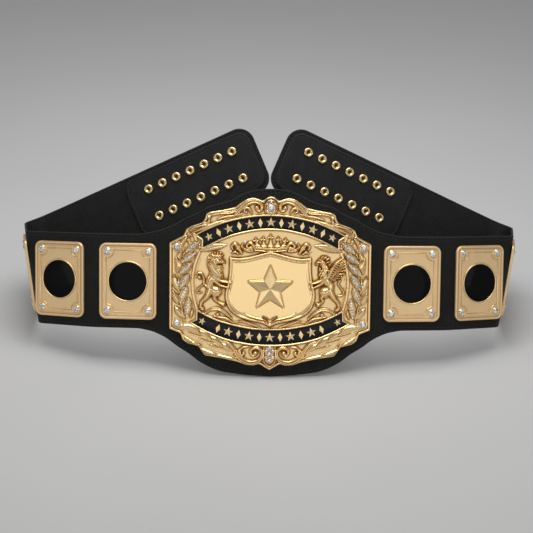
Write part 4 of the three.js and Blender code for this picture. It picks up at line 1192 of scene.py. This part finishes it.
# %% Scrolls
stroke(((-45, 84.5), (-39, 91.5), (-30, 99.3), (-20, 102.2), (-12.5, 98.5), (-11.5, 92.6), (-15.5, 90.3),
    (-18.5, 93.5)),
       (3, 6, 7.4, 7.4, 6, 4.6, 3.8, 3), (2, 3.6, 4, 4, 3.8, 3.6, 3.4, 3.2), grooved)
boss(-17.6, 94.4, 2.7, 4.4)
stroke(((-24, 88), (-27, 93), (-31.5, 93.6), (-33, 89.5), (-29.5, 88)), (2.4, 3.6, 3.4, 2.8, 2.2), 2.8)
stroke(((-77.5, 82), (-72, 86), (-60, 87.5), (-50, 88), (-40, 92.5)), (3.6, 4.6, 4, 4.4, 3),
    (2.6, 3, 2.6, 2.8, 2.6), grooved)
boss(-76.8, 81.8, 2.9, 3.6)
stroke(((-66, 79.5), (-56, 82.5), (-46, 84), (-36, 86.5)), (2.2, 3, 3, 2), 1.8)
stroke(((-9, 100.5), (-6.5, 104), (-3, 105.6), (0, 106)), (2.4, 3.6, 4.4, 4.8), 2.8)
stroke(((-6.4, 87), (-7.4, 95), (-5, 101.5), (0, 103.8)), (1.4, 1.8, 1.8, 1.8), 3.0)
stroke(((-103, 62), (-98, 68.4), (-88, 72), (-79, 74), (-76, 78.4)), (2.4, 4.8, 5.4, 5, 3),
    (2.2, 3.0, 3.0, 2.8, 2.4), grooved)
stroke(((-97, 62.4), (-88, 66.4), (-78, 70.4), (-67, 75), (-56, 78.6)), (1.6, 3.8, 5, 4.2, 1.6),
    (1.8, 2.8, 3.0, 2.6, 2.0), ribbed)
stroke(((-57, -72.6), (-49, -77.5), (-43, -86), (-36, -94.4), (-26, -99.6), (-16, -98.2), (-9.8, -92.6),
    (-9.2, -86),
        (-14, -81.2), (-20, -81.2), (-23.6, -85), (-22, -89.8), (-18, -90)),
       (2.4, 4.4, 6, 7.2, 7.4, 7, 6.4, 5.6, 5, 4.6, 4, 3.4, 3),
       (2.4, 3.4, 3.8, 4, 4, 4, 4, 3.8, 3.8, 3.8, 3.6, 3.6, 3.6), grooved)
boss(-17.6, -87.4, 2.9, 4.6)
stroke(((-27, -79.5), (-33.5, -80.5), (-37.5, -85), (-34.5, -90.5), (-31, -88)), (2.2, 3.6, 3.6, 3, 2.2), 3)
boss(-32.5, -87, 2.0, 3.4)
stroke(((-6.6, -78.6), (-7.2, -90), (-6.4, -99), (0, -104.6)), (1.6, 2, 2, 2.4), 3.2)
stroke(((-48, -44), (-56, -37), (-64, -32.6), (-73, -33.4), (-81, -38)), (2.4, 4.4, 5, 4, 2.4),
    (3, 3.2, 3, 2.8, 2.4), grooved)
stroke(((-45, -50), (-54, -44.5), (-62, -43), (-70, -41.5)), (2, 3.4, 3, 1.6), 2.4)
stroke(((-12, -55), (-22, -51.6), (-33, -48), (-44, -48.5)), (2, 3, 3, 1.6), 2.2, veined)
boss(-65, -39.6, 2.5, 3.8)
print("scrolls done")

# %% Laurel and lower leaves
STONE_LEAVES = (
    ((-104.5, 39), (-88.5, 51)), ((-110, 26), (-92.5, 37.5)), ((-114, 9.5), (-97.5, 25)),
    ((-112, -7), (-101.5, 11)), ((-112, -25), (-103.5, -4.5)), ((-103.5, -42.5), (-101, -19)),
)
PLAIN_LEAVES = (
    ((-113.5, 24), (-110.5, 40), 6, 0.1), ((-116, 12), (-117.5, 32), 6.4, -0.1),
    ((-113, -11), (-119.5, 10), 7, 0.1), ((-110.5, -28), (-121, -11), 7.4, 0.08),
    ((-105, -44), (-118.5, -30), 7.6, 0.08), ((-100.5, 48), (-107, 60), 5, -0.1),
    ((-98, -30), (-99.5, -45), 4, 0.1), ((-97, 58), (-104, 66), 4, 0.1), ((-110, 44), (-103, 57), 5, 0.15),
)
for foot, tip, width, bend in PLAIN_LEAVES:
    leaf(foot, tip, width, 3.2, bend, ditch=1.3)
stroke(((-106, -54), (-109, -36), (-113, -15), (-113.5, 8), (-110, 28), (-105, 44)), 1.8, 2.4)
for foot, tip in STONE_LEAVES:
    leaf(foot, tip, 9.2, 3.4, 0, cupped, ditch=1.3)
LOWER_LEAVES = (
    ((-72, -88.4), (-43, -94.6), 6.6, -0.06), ((-91, -79.6), (-66, -89.4), 7.2, -0.1),
    ((-107, -67), (-86, -81), 7.2, -0.08), ((-75, -78), (-45, -86.5), 8.2, 0.12),
    ((-88, -69.5), (-58, -79.5), 8.8, 0.12), ((-101, -61.5), (-72, -72), 8.8, 0.12),
    ((-113, -54.5), (-86, -64), 8.4, 0.1),
)
for foot, tip, width, bend in LOWER_LEAVES:
    leaf(foot, tip, width, 3.8, bend, ditch=2.8)
for outline in banner_edges.values():
    where, x, z = window(outline, 2)
    press(where, np.where(inside(shifted(outline, 1.0), x, z), 1.0, NOWHERE), 0, False, True)
    frame_line = shifted(outline, 1.0)
    rib(np.concatenate((frame_line, frame_line[:1])), 2.7, RIBBON_RISE, pair=False)
CORNER_SPOTS = ((-115.9, 45.0), (-115.9, -51.5))
for x, z in CORNER_SPOTS:
    boss(x, z, 7.2, 1.5)
print(len(STONE_LEAVES) + len(PLAIN_LEAVES) + len(LOWER_LEAVES), "leaves a side")

# %% [markdown]
# ## The supporters
#
# A lion and a griffin stand up and hold the shield, as on many old coats of arms. Muscles are
# fleshy strokes that melt together. Mane, feathers and toes are crisp ones laid on top, because
# a chaser cuts those into the metal last.

# %% Flesh and fur
MELT = 1.3
FIGURE_X = 42.0
SIDE_COLUMNS = round((MAIN_WIDTH / 2 - FIGURE_X) / PITCH)


def flesh(points, width, rise):
    stroke(points, width, rise, fleshy, MELT, False)


def knob(x, z, radius, rise):
    boss(x, z, radius, rise, MELT, False)


def crisp(points, width, rise, section=domed):
    stroke(points, width, rise, section, pair=False)


def paw(x, z, side, rise, size=1.0):
    """A foot with three toes, pointing to a side."""
    knob(x, z, 2.9 * size, rise)
    for k in (-1, 0, 1):
        toe = (x + side * (2.6 - 0.5 * abs(k)) * size, z + 1.7 * k * size)
        crisp(((x, z + k * size), toe), (1.8 * size, 1.5 * size), rise + 0.1)


# %% Lion
flesh(((-66, 17), (-70, 8), (-75.5, 0), (-73, -8)), (15, 14.5, 11, 12), (5.2, 5.2, 4.4, 4.8))
knob(-68, 26, 11.5, 5.2)
flesh(((-73, 22), (-68.5, 15), (-63, 10)), (11, 13, 9), 5.8)
flesh(((-70, 9), (-61, 3), (-52, 1.2)), (9, 5.8, 4.4), (5.8, 5.8, 5.4))
flesh(((-70, 4), (-62, -2.4), (-54, -4.8)), (7.5, 5, 4), (4.8, 5, 4.8))
knob(-67.5, -10.5, 8, 5.9)
flesh(((-68, -12), (-69, -19), (-64, -24), (-59, -26.5)), (8.5, 5.6, 4, 4), (5.2, 4.6, 4, 3.8))
flesh(((-74, -8), (-78.5, -17), (-85, -24), (-86.5, -30.5)), (11, 7.4, 4.8, 4), (5, 4.6, 4, 3.8))
paw(-50.8, 1.2, 1, 5.6)
paw(-52.4, -5.4, 1, 5.0, 0.9)
paw(-58.6, -27, 1, 4.0, 0.95)
paw(-84.5, -32.4, 1, 4.0, 0.95)
crisp(((-77, -6), (-82, -1.5), (-82.5, 5), (-85, 11.5), (-89.6, 12.4), (-91, 9), (-88.6, 7)),
    (2.8, 2.4, 2.4, 2.4, 2.2, 2, 1.8), 3.2)
crisp(((-83, -2), (-88, -6), (-91, -10), (-88.6, -13), (-85.4, -11.6)), (2, 2.4, 2.4, 2.2, 2), 2.8)
for tip in ((-86, 4.4), (-85.2, 6.8), (-87.8, 4.2)):
    crisp(((-88.8, 7.4), tip), (2.2, 0.8), 3.4)
for ring, start, end, rise in ((0, 6.5, 12.6, 5.4), (1, 4, 9.2, 6.6)):
    for k in range(15):
        angle = math.radians(48 + (k + 0.5 * ring) * 17.5)
        out = np.array((math.cos(angle), math.sin(angle)))
        turn = np.array((-math.sin(angle), math.cos(angle)))
        base = np.array((-66.0, 27.0))
        lock = (base + out * start, base + out * (start + end) / 2 + turn * 1.1,
            base + out * end + turn * 0.2)
        crisp(lock, (2.6, 3.0, 0.8), (rise, rise, rise - 2.2), veined)
for k in range(7):
    head = (-75 + 1.9 * k, 20.5 - 1.2 * k)
    crisp((head, (head[0] + 3.4, head[1] - 5), (head[0] + 5.4, head[1] - 9.6)), (2.2, 3.0, 0.8),
        (6.2, 6.6, 4.8), veined)
knob(-65, 28, 6.2, 7.4)
flesh(((-64, 27), (-58.6, 25.6)), (7, 5), (7.6, 7.0))
knob(-62.5, 20.8, 2.9, 6.4)
crisp(((-66, 32), (-62.5, 31.4), (-60, 29)), (1.2, 2.2, 1.2), 8.0)
crisp(((-61.6, 29), (-58.2, 27.2)), (1.8, 2.4), 8.0)
knob(-70, 34, 2.5, 7.2)
dent(((-66, 23.2), (-62, 23.6), (-57.6, 22.8)), 1.8, 2.4, False)
dent(((-64.4, 29.6), (-62.6, 29.2)), 1.4, 1.2, False)
dent(((-70, 34), (-69.8, 34.4)), 1.8, 1.2, False)
for z in (-4, -1, 2):
    dent(((-79, z + 2), (-75, z)), 1.4, 0.5, False)
print("lion stands", round(float(relief[:SIDE_COLUMNS].max()), 1), "mm high")

# %% Griffin
flesh(((65, 25), (67.5, 19), (66.5, 12)), (9, 10, 13), (6, 5.6, 6))
flesh(((66.5, 13), (70, 4), (75, -2), (73, -9)), (13, 12, 10, 11), (5.8, 5, 4.4, 4.8))
flesh(((68, 8), (59.5, 2.4), (52.4, 0.6)), (7.5, 5, 3.8), (5.4, 5.6, 5.4))
flesh(((67, 3), (60, -2), (53.6, -4.8)), (6.5, 4.6, 3.6), (4.8, 5, 4.8))
knob(68, -10.6, 7.6, 5.9)
flesh(((67, -12), (64, -18), (65.4, -22), (61, -26)), (8, 5.4, 4, 3.8), (5.2, 4.6, 4, 3.8))
flesh(((73.5, -8), (79, -17), (84.6, -24), (86, -30.5)), (11, 7, 4.6, 4), (5, 4.6, 4, 3.8))
for x, z, rise in ((50.8, 1, 5.6), (52.4, -5.4, 5.0), (60, -26.6, 4.0), (84, -32.4, 4.0)):
    paw(x, z, -1, rise, 0.92)
FEATHER_TIPS = ((91, 33), (93, 29.4), (93.6, 25.4), (93.6, 21.4), (93, 17.4), (91.6, 13.4), (89, 9.8),
    (85.6, 7), (81.6, 5))
for k, tip in enumerate(FEATHER_TIPS):
    root = (85.5 - 1.55 * k, 28 - 2.4 * k)
    bow = ((root[0] + tip[0]) / 2, (root[1] + tip[1]) / 2 - 1.2)
    crisp((root, bow, tip), (2.6, 3.4, 3.2, 2.2), (4.2, 4.4, 4.0, 3.2), veined)
for k in range(8):
    root = (83.5 - 1.6 * k, 27 - 2.5 * k)
    crisp((root, (root[0] + 3.4, root[1] - 1.6), (root[0] + 6, root[1] - 1.4)), (2.4, 3.0, 1.6),
        (5.4, 5.2, 4.4))
flesh(((71, 8), (75.5, 16), (79.5, 24), (87.5, 31)), (7, 6, 5, 3), (5.6, 6, 5.8, 5))
crisp(((86.5, 3.6), (84.8, 0), (88, -5), (91.4, -10), (89.6, -14), (85, -15)), (2, 2.2, 2.4, 2.4, 2.2, 2),
    3.0)
for tip in ((88.6, 5.4), (86, 6), (84, 4.6)):
    crisp(((86.4, 3), tip), (2, 0.8), 3.2)
for row in range(4):
    for k in range(4 - row // 2):
        scale = (61.5 + 3.1 * k + 1.5 * (row % 2), 20 - 3.2 * row)
        crisp((scale, (scale[0] - 0.5, scale[1] - 3.4)), (3, 2), (6.4, 6.0))
knob(64, 27.4, 5, 6.8)
flesh(((62, 27.6), (58, 26.6), (56.4, 23.8)), (5.6, 3.6, 1.6), (7, 6.4, 5))
for foot, tip in (((63, 30), (66, 35)), ((65, 29.4), (70.6, 34.6)), ((67, 28), (74, 32.4)),
    ((67.6, 25.4), (74.6, 27.6))):
    leaf(foot, tip, 3.2, 6.2, 0.12, pair=False, ditch=0)
crisp(((60, 30), (63.4, 30.4)), (1.4, 1.6), 7.6)
dent(((61.8, 28.6), (63, 28.6)), 1.3, 1.2, False)
dent(((60.6, 25.2), (57.4, 25)), 1.2, 1.4, False)
print("griffin stands", round(float(relief[-SIDE_COLUMNS:].max()), 1), "mm high")

# %% [markdown]
# Polishing brightens what stands up. The hollows are darkened, partly with patina where the wheel
# can't go and partly with painted shade. Both are read off the height map: a place that lies well
# below the average of its surroundings is a hollow.

# %% Hollows and bright places
def blurred(values, reach):
    """The average round each point, as a soft spot a few millimetres wide."""
    fx, fz = np.fft.fftfreq(values.shape[0], PITCH)[:, None], np.fft.rfftfreq(values.shape[1], PITCH)
    spot = np.exp(-2 * (math.pi * reach) ** 2 * (fx**2 + fz**2))
    return np.fft.irfft2(np.fft.rfft2(values) * spot, values.shape)


with_rim = relief + np.where(edge_away < RIM_WIDTH, RIM_RISE, 0)
# how dark each place is painted: patina and painted shade in the hollows
hollow_map = (blurred(with_rim, 1.0) - relief) / 0.9 + (blurred(with_rim, 2.6) - relief) / 2.6
# less patina and painted shade on what stands high
eased_on_high = 1 - 0.35 * np.clip(relief / 4, 0, 1)  # the wheel reaches more on what stands high
hollow_map = np.clip(hollow_map - 0.2, 0, 1) * eased_on_high
raised_map = np.clip(relief / 1.6, 0, 1)
GOLD_RELIEF = gilt("gold_relief", (0.95, 0.68, 0.34), 0.33, 1500.0, 0.00006, PATINA_AND_SHADE, 0.15)
print("share of the plate in the hollows:", round(float((hollow_map[on_plate] > 0.5).mean()), 3))


# %% Skin the relief
def boundary_loops(directed):
    """Closed loops from edges that each run from a point to the next."""
    following = {}
    for a, b in directed:
        following.setdefault(a, []).append(b)
    loops = []
    while following:
        start = next(iter(following))
        loop, at = [], start
        while at in following:
            loop.append(at)
            ahead = following[at].pop()
            if not following[at]:
                del following[at]
            at = ahead
        loops.append(loop)
    return loops


def relief_solid(cells, foot):
    """A closed block whose top follows the map over the marked cells."""
    i, j = np.nonzero(cells)
    rows = len(PLATE_Z)
    corners = np.stack((i * rows + j, (i + 1) * rows + j, (i + 1) * rows + j + 1, i * rows + j + 1), 1)
    directed = np.concatenate([corners[:, (k, (k + 1) % 4)] for k in range(4)])
    key = directed.min(1) * relief.size + directed.max(1)
    _, first, count = np.unique(key, return_index=True, return_counts=True)
    rim = directed[first[count == 1]]
    used, fresh = np.unique(corners, return_inverse=True)
    faces = fresh.reshape(-1, 4).tolist()
    lower = {old: len(used) + k for k, old in enumerate(sorted(set(rim[:, 0].tolist())))}
    spot = {old: k for k, old in enumerate(used.tolist())}
    faces += [[spot[b], spot[a], lower[a], lower[b]] for a, b in rim.tolist()]
    faces += [[lower[k] for k in reversed(loop)] for loop in boundary_loops(rim.tolist())]
    every = np.concatenate((used, sorted(lower)))
    height = relief.ravel()[every]
    height[len(used):] = foot
    points = on_strap(map_x.ravel()[every], map_z.ravel()[every], FIELD + height)
    return (points, faces), hollow_map.ravel()[every], raised_map.ravel()[every]


RELIEF_INSET, RELIEF_FOOT = 1.2, -1.2
cell_x = PLATE_X[:-1] + PITCH / 2
halves = (slice(1, None), slice(-1))
corner_views = [(a, b) for a in halves for b in halves]
cells = np.logical_and.reduce([on_plate[view] & (edge_away[view] > RELIEF_INSET) for view in corner_views])
blocks = {
    "lion_and_laurel": cells & (cell_x < -FIGURE_X)[:, None],
    "shield_and_scrolls": cells & (abs(cell_x) < FIGURE_X)[:, None],
    "griffin_and_laurel": cells & (cell_x > FIGURE_X)[:, None],
}
for name, block in blocks.items():
    shape, hollow, raised = relief_solid(block, RELIEF_FOOT)
    piece = make_piece(f"relief_{name}", [shape], [GOLD_RELIEF], sharp=75)
    store(piece, "hollow", hollow)
    store(piece, "raised", raised)

# %% Plate body, rim and the shield's star
def on_plate_at(shape, up=0.0):
    x, z, h = (shape[0] + (0, 0, up)).T
    return (on_strap(x, z, h), *shape[1:])


def sliced(shape, step=8.0):
    """Cuts a shape made flat into strips, so that it can follow the strap's bend."""
    body = bmesh.new()
    corners = [body.verts.new(point) for point in shape[0]]
    for face in shape[1]:
        body.faces.new([corners[k] for k in face])
    low, high = shape[0][:, 0].min(), shape[0][:, 0].max()
    for x in np.arange(math.ceil(low / step), high / step) * step:
        everything = [*body.verts, *body.edges, *body.faces]
        bmesh.ops.bisect_plane(body, geom=everything, dist=1e-5, plane_co=(x, 0, 0), plane_no=(1, 0, 0))
    body.verts.index_update()
    points = np.array([corner.co[:] for corner in body.verts])
    faces = [[corner.index for corner in face.verts] for face in body.faces]
    body.free()
    return points, faces


body_rings = [np.column_stack((shifted(plate_edge, -inset), np.full(len(plate_edge), h)))
              for inset, h in ((0.4, SEAT_GAP), (0.05, SEAT_GAP + 0.3), (0.05, FIELD - 0.1),
              (0.8, FIELD - 0.3))]
body = on_plate_at(sliced(skin(np.array(body_rings))))
rim = on_plate_at(raised_line(shifted(plate_edge, -RIM_WIDTH / 2), RIM_WIDTH, RIM_RISE), FIELD)
make_piece("main_plate_gilt", [body, rim], [GOLD_POLISHED], ["main_plate"], 50)


def pointed_star(radius, waist, edge, top, foot, points=5):
    """A star whose points are ridged, from its foot up."""
    angle = math.pi / 2 + np.arange(2 * points) * math.pi / points
    reach = np.where(np.arange(2 * points) % 2, radius * waist, radius)
    flat = np.stack((reach * np.cos(angle), reach * np.sin(angle)), 1)
    rings = [np.column_stack((flat, np.full(len(flat), h))) for h in (foot, edge)]
    verts = np.concatenate((*rings, [(0, 0, top)]))
    count, last = len(flat), 2 * len(flat)
    faces = [list(range(count))[::-1]]
    for k in range(count):
        m = (k + 1) % count
        faces += [[k, m, count + m, count + k], [count + k, count + m, last]]
    return verts, faces


STAR_EDGE, STAR_TOP, STAR_FOOT = 0.9, 4.3, -0.6
star_points, star_faces = pointed_star(STAR_RADIUS, STAR_WAIST, STAR_EDGE, STAR_TOP, STAR_FOOT)
star_shape = on_plate_at((star_points + (0, STAR_MIDDLE, 0), star_faces), FIELD + SHIELD_FACE)
make_piece("shield_star", [star_shape], [GOLD_POLISHED], sharp=10)

# %% [markdown]
# ## Banner enamel
#
# Black enamel is melted glass. It fills the ribbon almost to its rim and rounds over where it
# meets the gold. The stars and lozenges stand in it as bare metal, and the enamel's top is
# ground flat round them.

# %% Enamel, stars and lozenges
ENAMEL, shader, links, place, add = new_material(
    "black_enamel", (0.006, 0.006, 0.0065), 0.25, Specular_IOR_Level=0.22
)
haze = noise(add, place, 90.0, 4.0)
links.new(ranged(add, haze, 0.3, 0.75, 0.16, 0.34), shader.inputs["Roughness"])
links.new(blended(add, haze, (0.005, 0.005, 0.0055), (0.011, 0.0108, 0.0105)), shader.inputs["Base Color"])
bumped(add, links, shader, noise(add, place, 600.0, 2.0), 0.00005)
BANNER_ROW = (0, 13, 26, 39, 52, 64.5)
END_STARS = {"top": (76.5, 4.6), "bottom": (84.5, 4.2)}
MARK_FOOT, MARK_EDGE = -0.6, 0.4


def banner_middle(name, x):
    """The height of a banner's middle line at x."""
    edges = [np.array(sorted(BANNERS[name][k])) for k in (0, 2)]
    return sum(np.interp(abs(x), edge[:, 0], edge[:, 1]) for edge in edges) / 2


for name, outline in banner_edges.items():
    rings = [np.column_stack((shifted(outline, -inset), np.full(len(outline), FIELD + h)))
             for inset, h in ((-0.3, 0.2), (-0.3, ENAMEL_RISE - 0.3), (0.35, ENAMEL_RISE))]
    fill = on_plate_at(sliced(skin(np.array(rings))))
    make_piece(f"{name}_banner_enamel", [fill], [ENAMEL], [f"banner_fill_{name}"], 50)
    marks = []
    end_x, end_radius = END_STARS[name]
    for k, x in enumerate((*BANNER_ROW, end_x)):
        for side in (-1, 1) if x else (1,):
            if x == end_x:
                mark = pointed_star(end_radius * 1.15, 0.42, MARK_EDGE, 0.75, MARK_FOOT)
            elif k % 2:
                mark = pointed_star(5.6, 0.5, MARK_EDGE, 0.75, MARK_FOOT, 2)
            else:
                mark = pointed_star(6.3, 0.4, MARK_EDGE, 0.8, MARK_FOOT)
            climb = banner_middle(name, x + 1) - banner_middle(name, x - 1)
            slant = math.atan2(climb, 2) * side if x else 0.0
            c, s = math.cos(slant), math.sin(slant)
            turned_mark = mark[0] @ np.array(((c, s, 0), (-s, c, 0), (0, 0, 1)))
            placed = turned_mark + (side * x, banner_middle(name, x), 0)
            marks.append(on_plate_at((placed, mark[1]), FIELD + ENAMEL_RISE))
    make_piece(f"{name}_banner_stars", marks, [GOLD_POLISHED], sharp=10)

# %% [markdown]
# ## Stones of the main plate
#
# Four larger stones sit near the corners in collars with four beads each. The laurel's cups hold
# rows of small ones, and two clusters mark the middle of the top and the bottom edge.

# %% Set the stones
def standing(shape, x, z, up):
    """A shape made flat, stood on the plate at a place."""
    return (on_flat_piece(x, shape[0] + (0, z, up)), *shape[1:])


def set_stones(name, places, replaced=(), collar=0.0):
    """Stones as x, z, diameter and height above the field, with collars where one is asked."""
    stones, collars = [], []
    for x, z, size, up in places:
        stones += [standing(shape, x, z, FIELD + up) for shape in brilliant(size, 0.35)]
        if collar:
            collars += [standing(shape, x, z, FIELD + up - 0.3) for shape in setting(size, 0, collar)]
    if collars:
        make_piece(f"{name}_settings", collars, [GOLD_POLISHED], sharp=40)
    make_piece(name, stones, [STONE_GLASS, FOIL], replaced, 5)


corner_nodes = [f"corner_stone_{row}_{side}" for row in ("upper", "lower") for side in SIDES]
set_stones("corner_stones", [(side * x, z, 8.2, 1.2) for x, z in CORNER_SPOTS for side in (-1, 1)],
    corner_nodes, 1.5)
small = []
for foot, tip in STONE_LEAVES:
    foot, tip = np.array(foot), np.array(tip)
    for share, size in ((0.15, 2.3), (0.28, 3.1), (0.43, 3.6), (0.59, 3.6), (0.74, 3.1), (0.87, 2.3)):
        x, z = foot + (tip - foot) * share
        small += [(side * x, z, size, 1.3) for side in (-1, 1)]
for x, z, size in ((-31.5, 51.5, 3.4), (-49.5, 40, 3.4), (-114, 0, 3.0), (-115, -4, 2.4)):
    small += [(side * x, z, size, 2.6) for side in (-1, 1)]
set_stones("laurel_stones", small)
cluster = [(0, 94.5, 8.0, 1.6), (0, 101, 3.6, 1.6), (0, 88, 3.6, 1.6)]
cluster += [(side * x, z, 2.6, 1.4) for side in (-1, 1) for x, z in ((4.6, 99), (4.6, 90))]
cluster += [(0, -81, 4.6, 1.6), (0, -89, 5.4, 1.8), (0, -97, 4.4, 1.6)]
cluster += [(side * 4.0, z, 3.8, 1.5) for side in (-1, 1) for z in (-85, -93)]
set_stones("cluster_stones", cluster, (), 1.0)

# %% [markdown]
# ## The floor and the light
#
# The photograph was taken on a pale seamless sweep under large soft lights. One broad light
# hangs over the belt, one stands far in front and one on each side of it, because polished metal
# only looks bright where it mirrors something bright.

# %% Floor, lights and sky
SOFTBOXES = {
    # place, what it is aimed at, width and height, all in metres, and watts
    "top_softbox": ((0.0, 0.08, 1.12), (0, 0.4, 0.0), (0.9, 0.7), 8.8),
    "front_softbox": ((0.0, -2.7, 1.15), (0, 0, 0.1), (3.2, 1.3), 9.0),
    "left_softbox": ((-2.0, -1.7, 0.9), (0, 0, 0.1), (1.2, 1.0), 4.2),
    "right_softbox": ((2.0, -1.7, 0.9), (0, 0, 0.1), (1.2, 1.0), 4.2),
}
SKY_COLOUR, SKY_STRENGTH, FLOOR_REACH = (0.72, 0.72, 0.73, 1), 0.43, 6.0

for name, (spot, aim, size, watts) in SOFTBOXES.items():
    lamp = bpy.data.lights.new(name, "AREA")
    lamp.shape, lamp.size, lamp.size_y = "RECTANGLE", *size
    lamp.energy = watts
    holder = bpy.data.objects.new(name, lamp)
    holder.location = spot
    holder.rotation_euler = (Vector(aim) - Vector(spot)).to_track_quat("-Z", "Y").to_euler()
    bpy.context.scene.collection.objects.link(holder)

world = bpy.data.worlds.new("studio")
world.use_nodes = True
sky = world.node_tree.nodes["Background"].inputs
sky["Color"].default_value, sky["Strength"].default_value = SKY_COLOUR, SKY_STRENGTH
bpy.context.scene.world = world
bpy.context.scene.view_settings.view_transform = "Standard"

FLOOR_PAPER, shader, links, place, add = new_material("floor_paper", (0.6, 0.6, 0.595), 0.75)
mottle = noise(add, place, 3.0, 2.0)
links.new(blended(add, mottle, (0.58, 0.58, 0.575), (0.62, 0.62, 0.615)), shader.inputs["Base Color"])
floor_mesh = bpy.data.meshes.new("floor")
floor_corners = [(x * FLOOR_REACH, y * FLOOR_REACH, 0) for x, y in ((-1, -1), (1, -1), (1, 1), (-1, 1))]
floor_mesh.from_pydata(floor_corners, [], [(0, 1, 2, 3)])
floor_mesh.materials.append(FLOOR_PAPER)
floor = bpy.data.objects.new("floor", floor_mesh)
bpy.context.scene.collection.objects.link(floor)
print("floor and", len(SOFTBOXES), "lights")
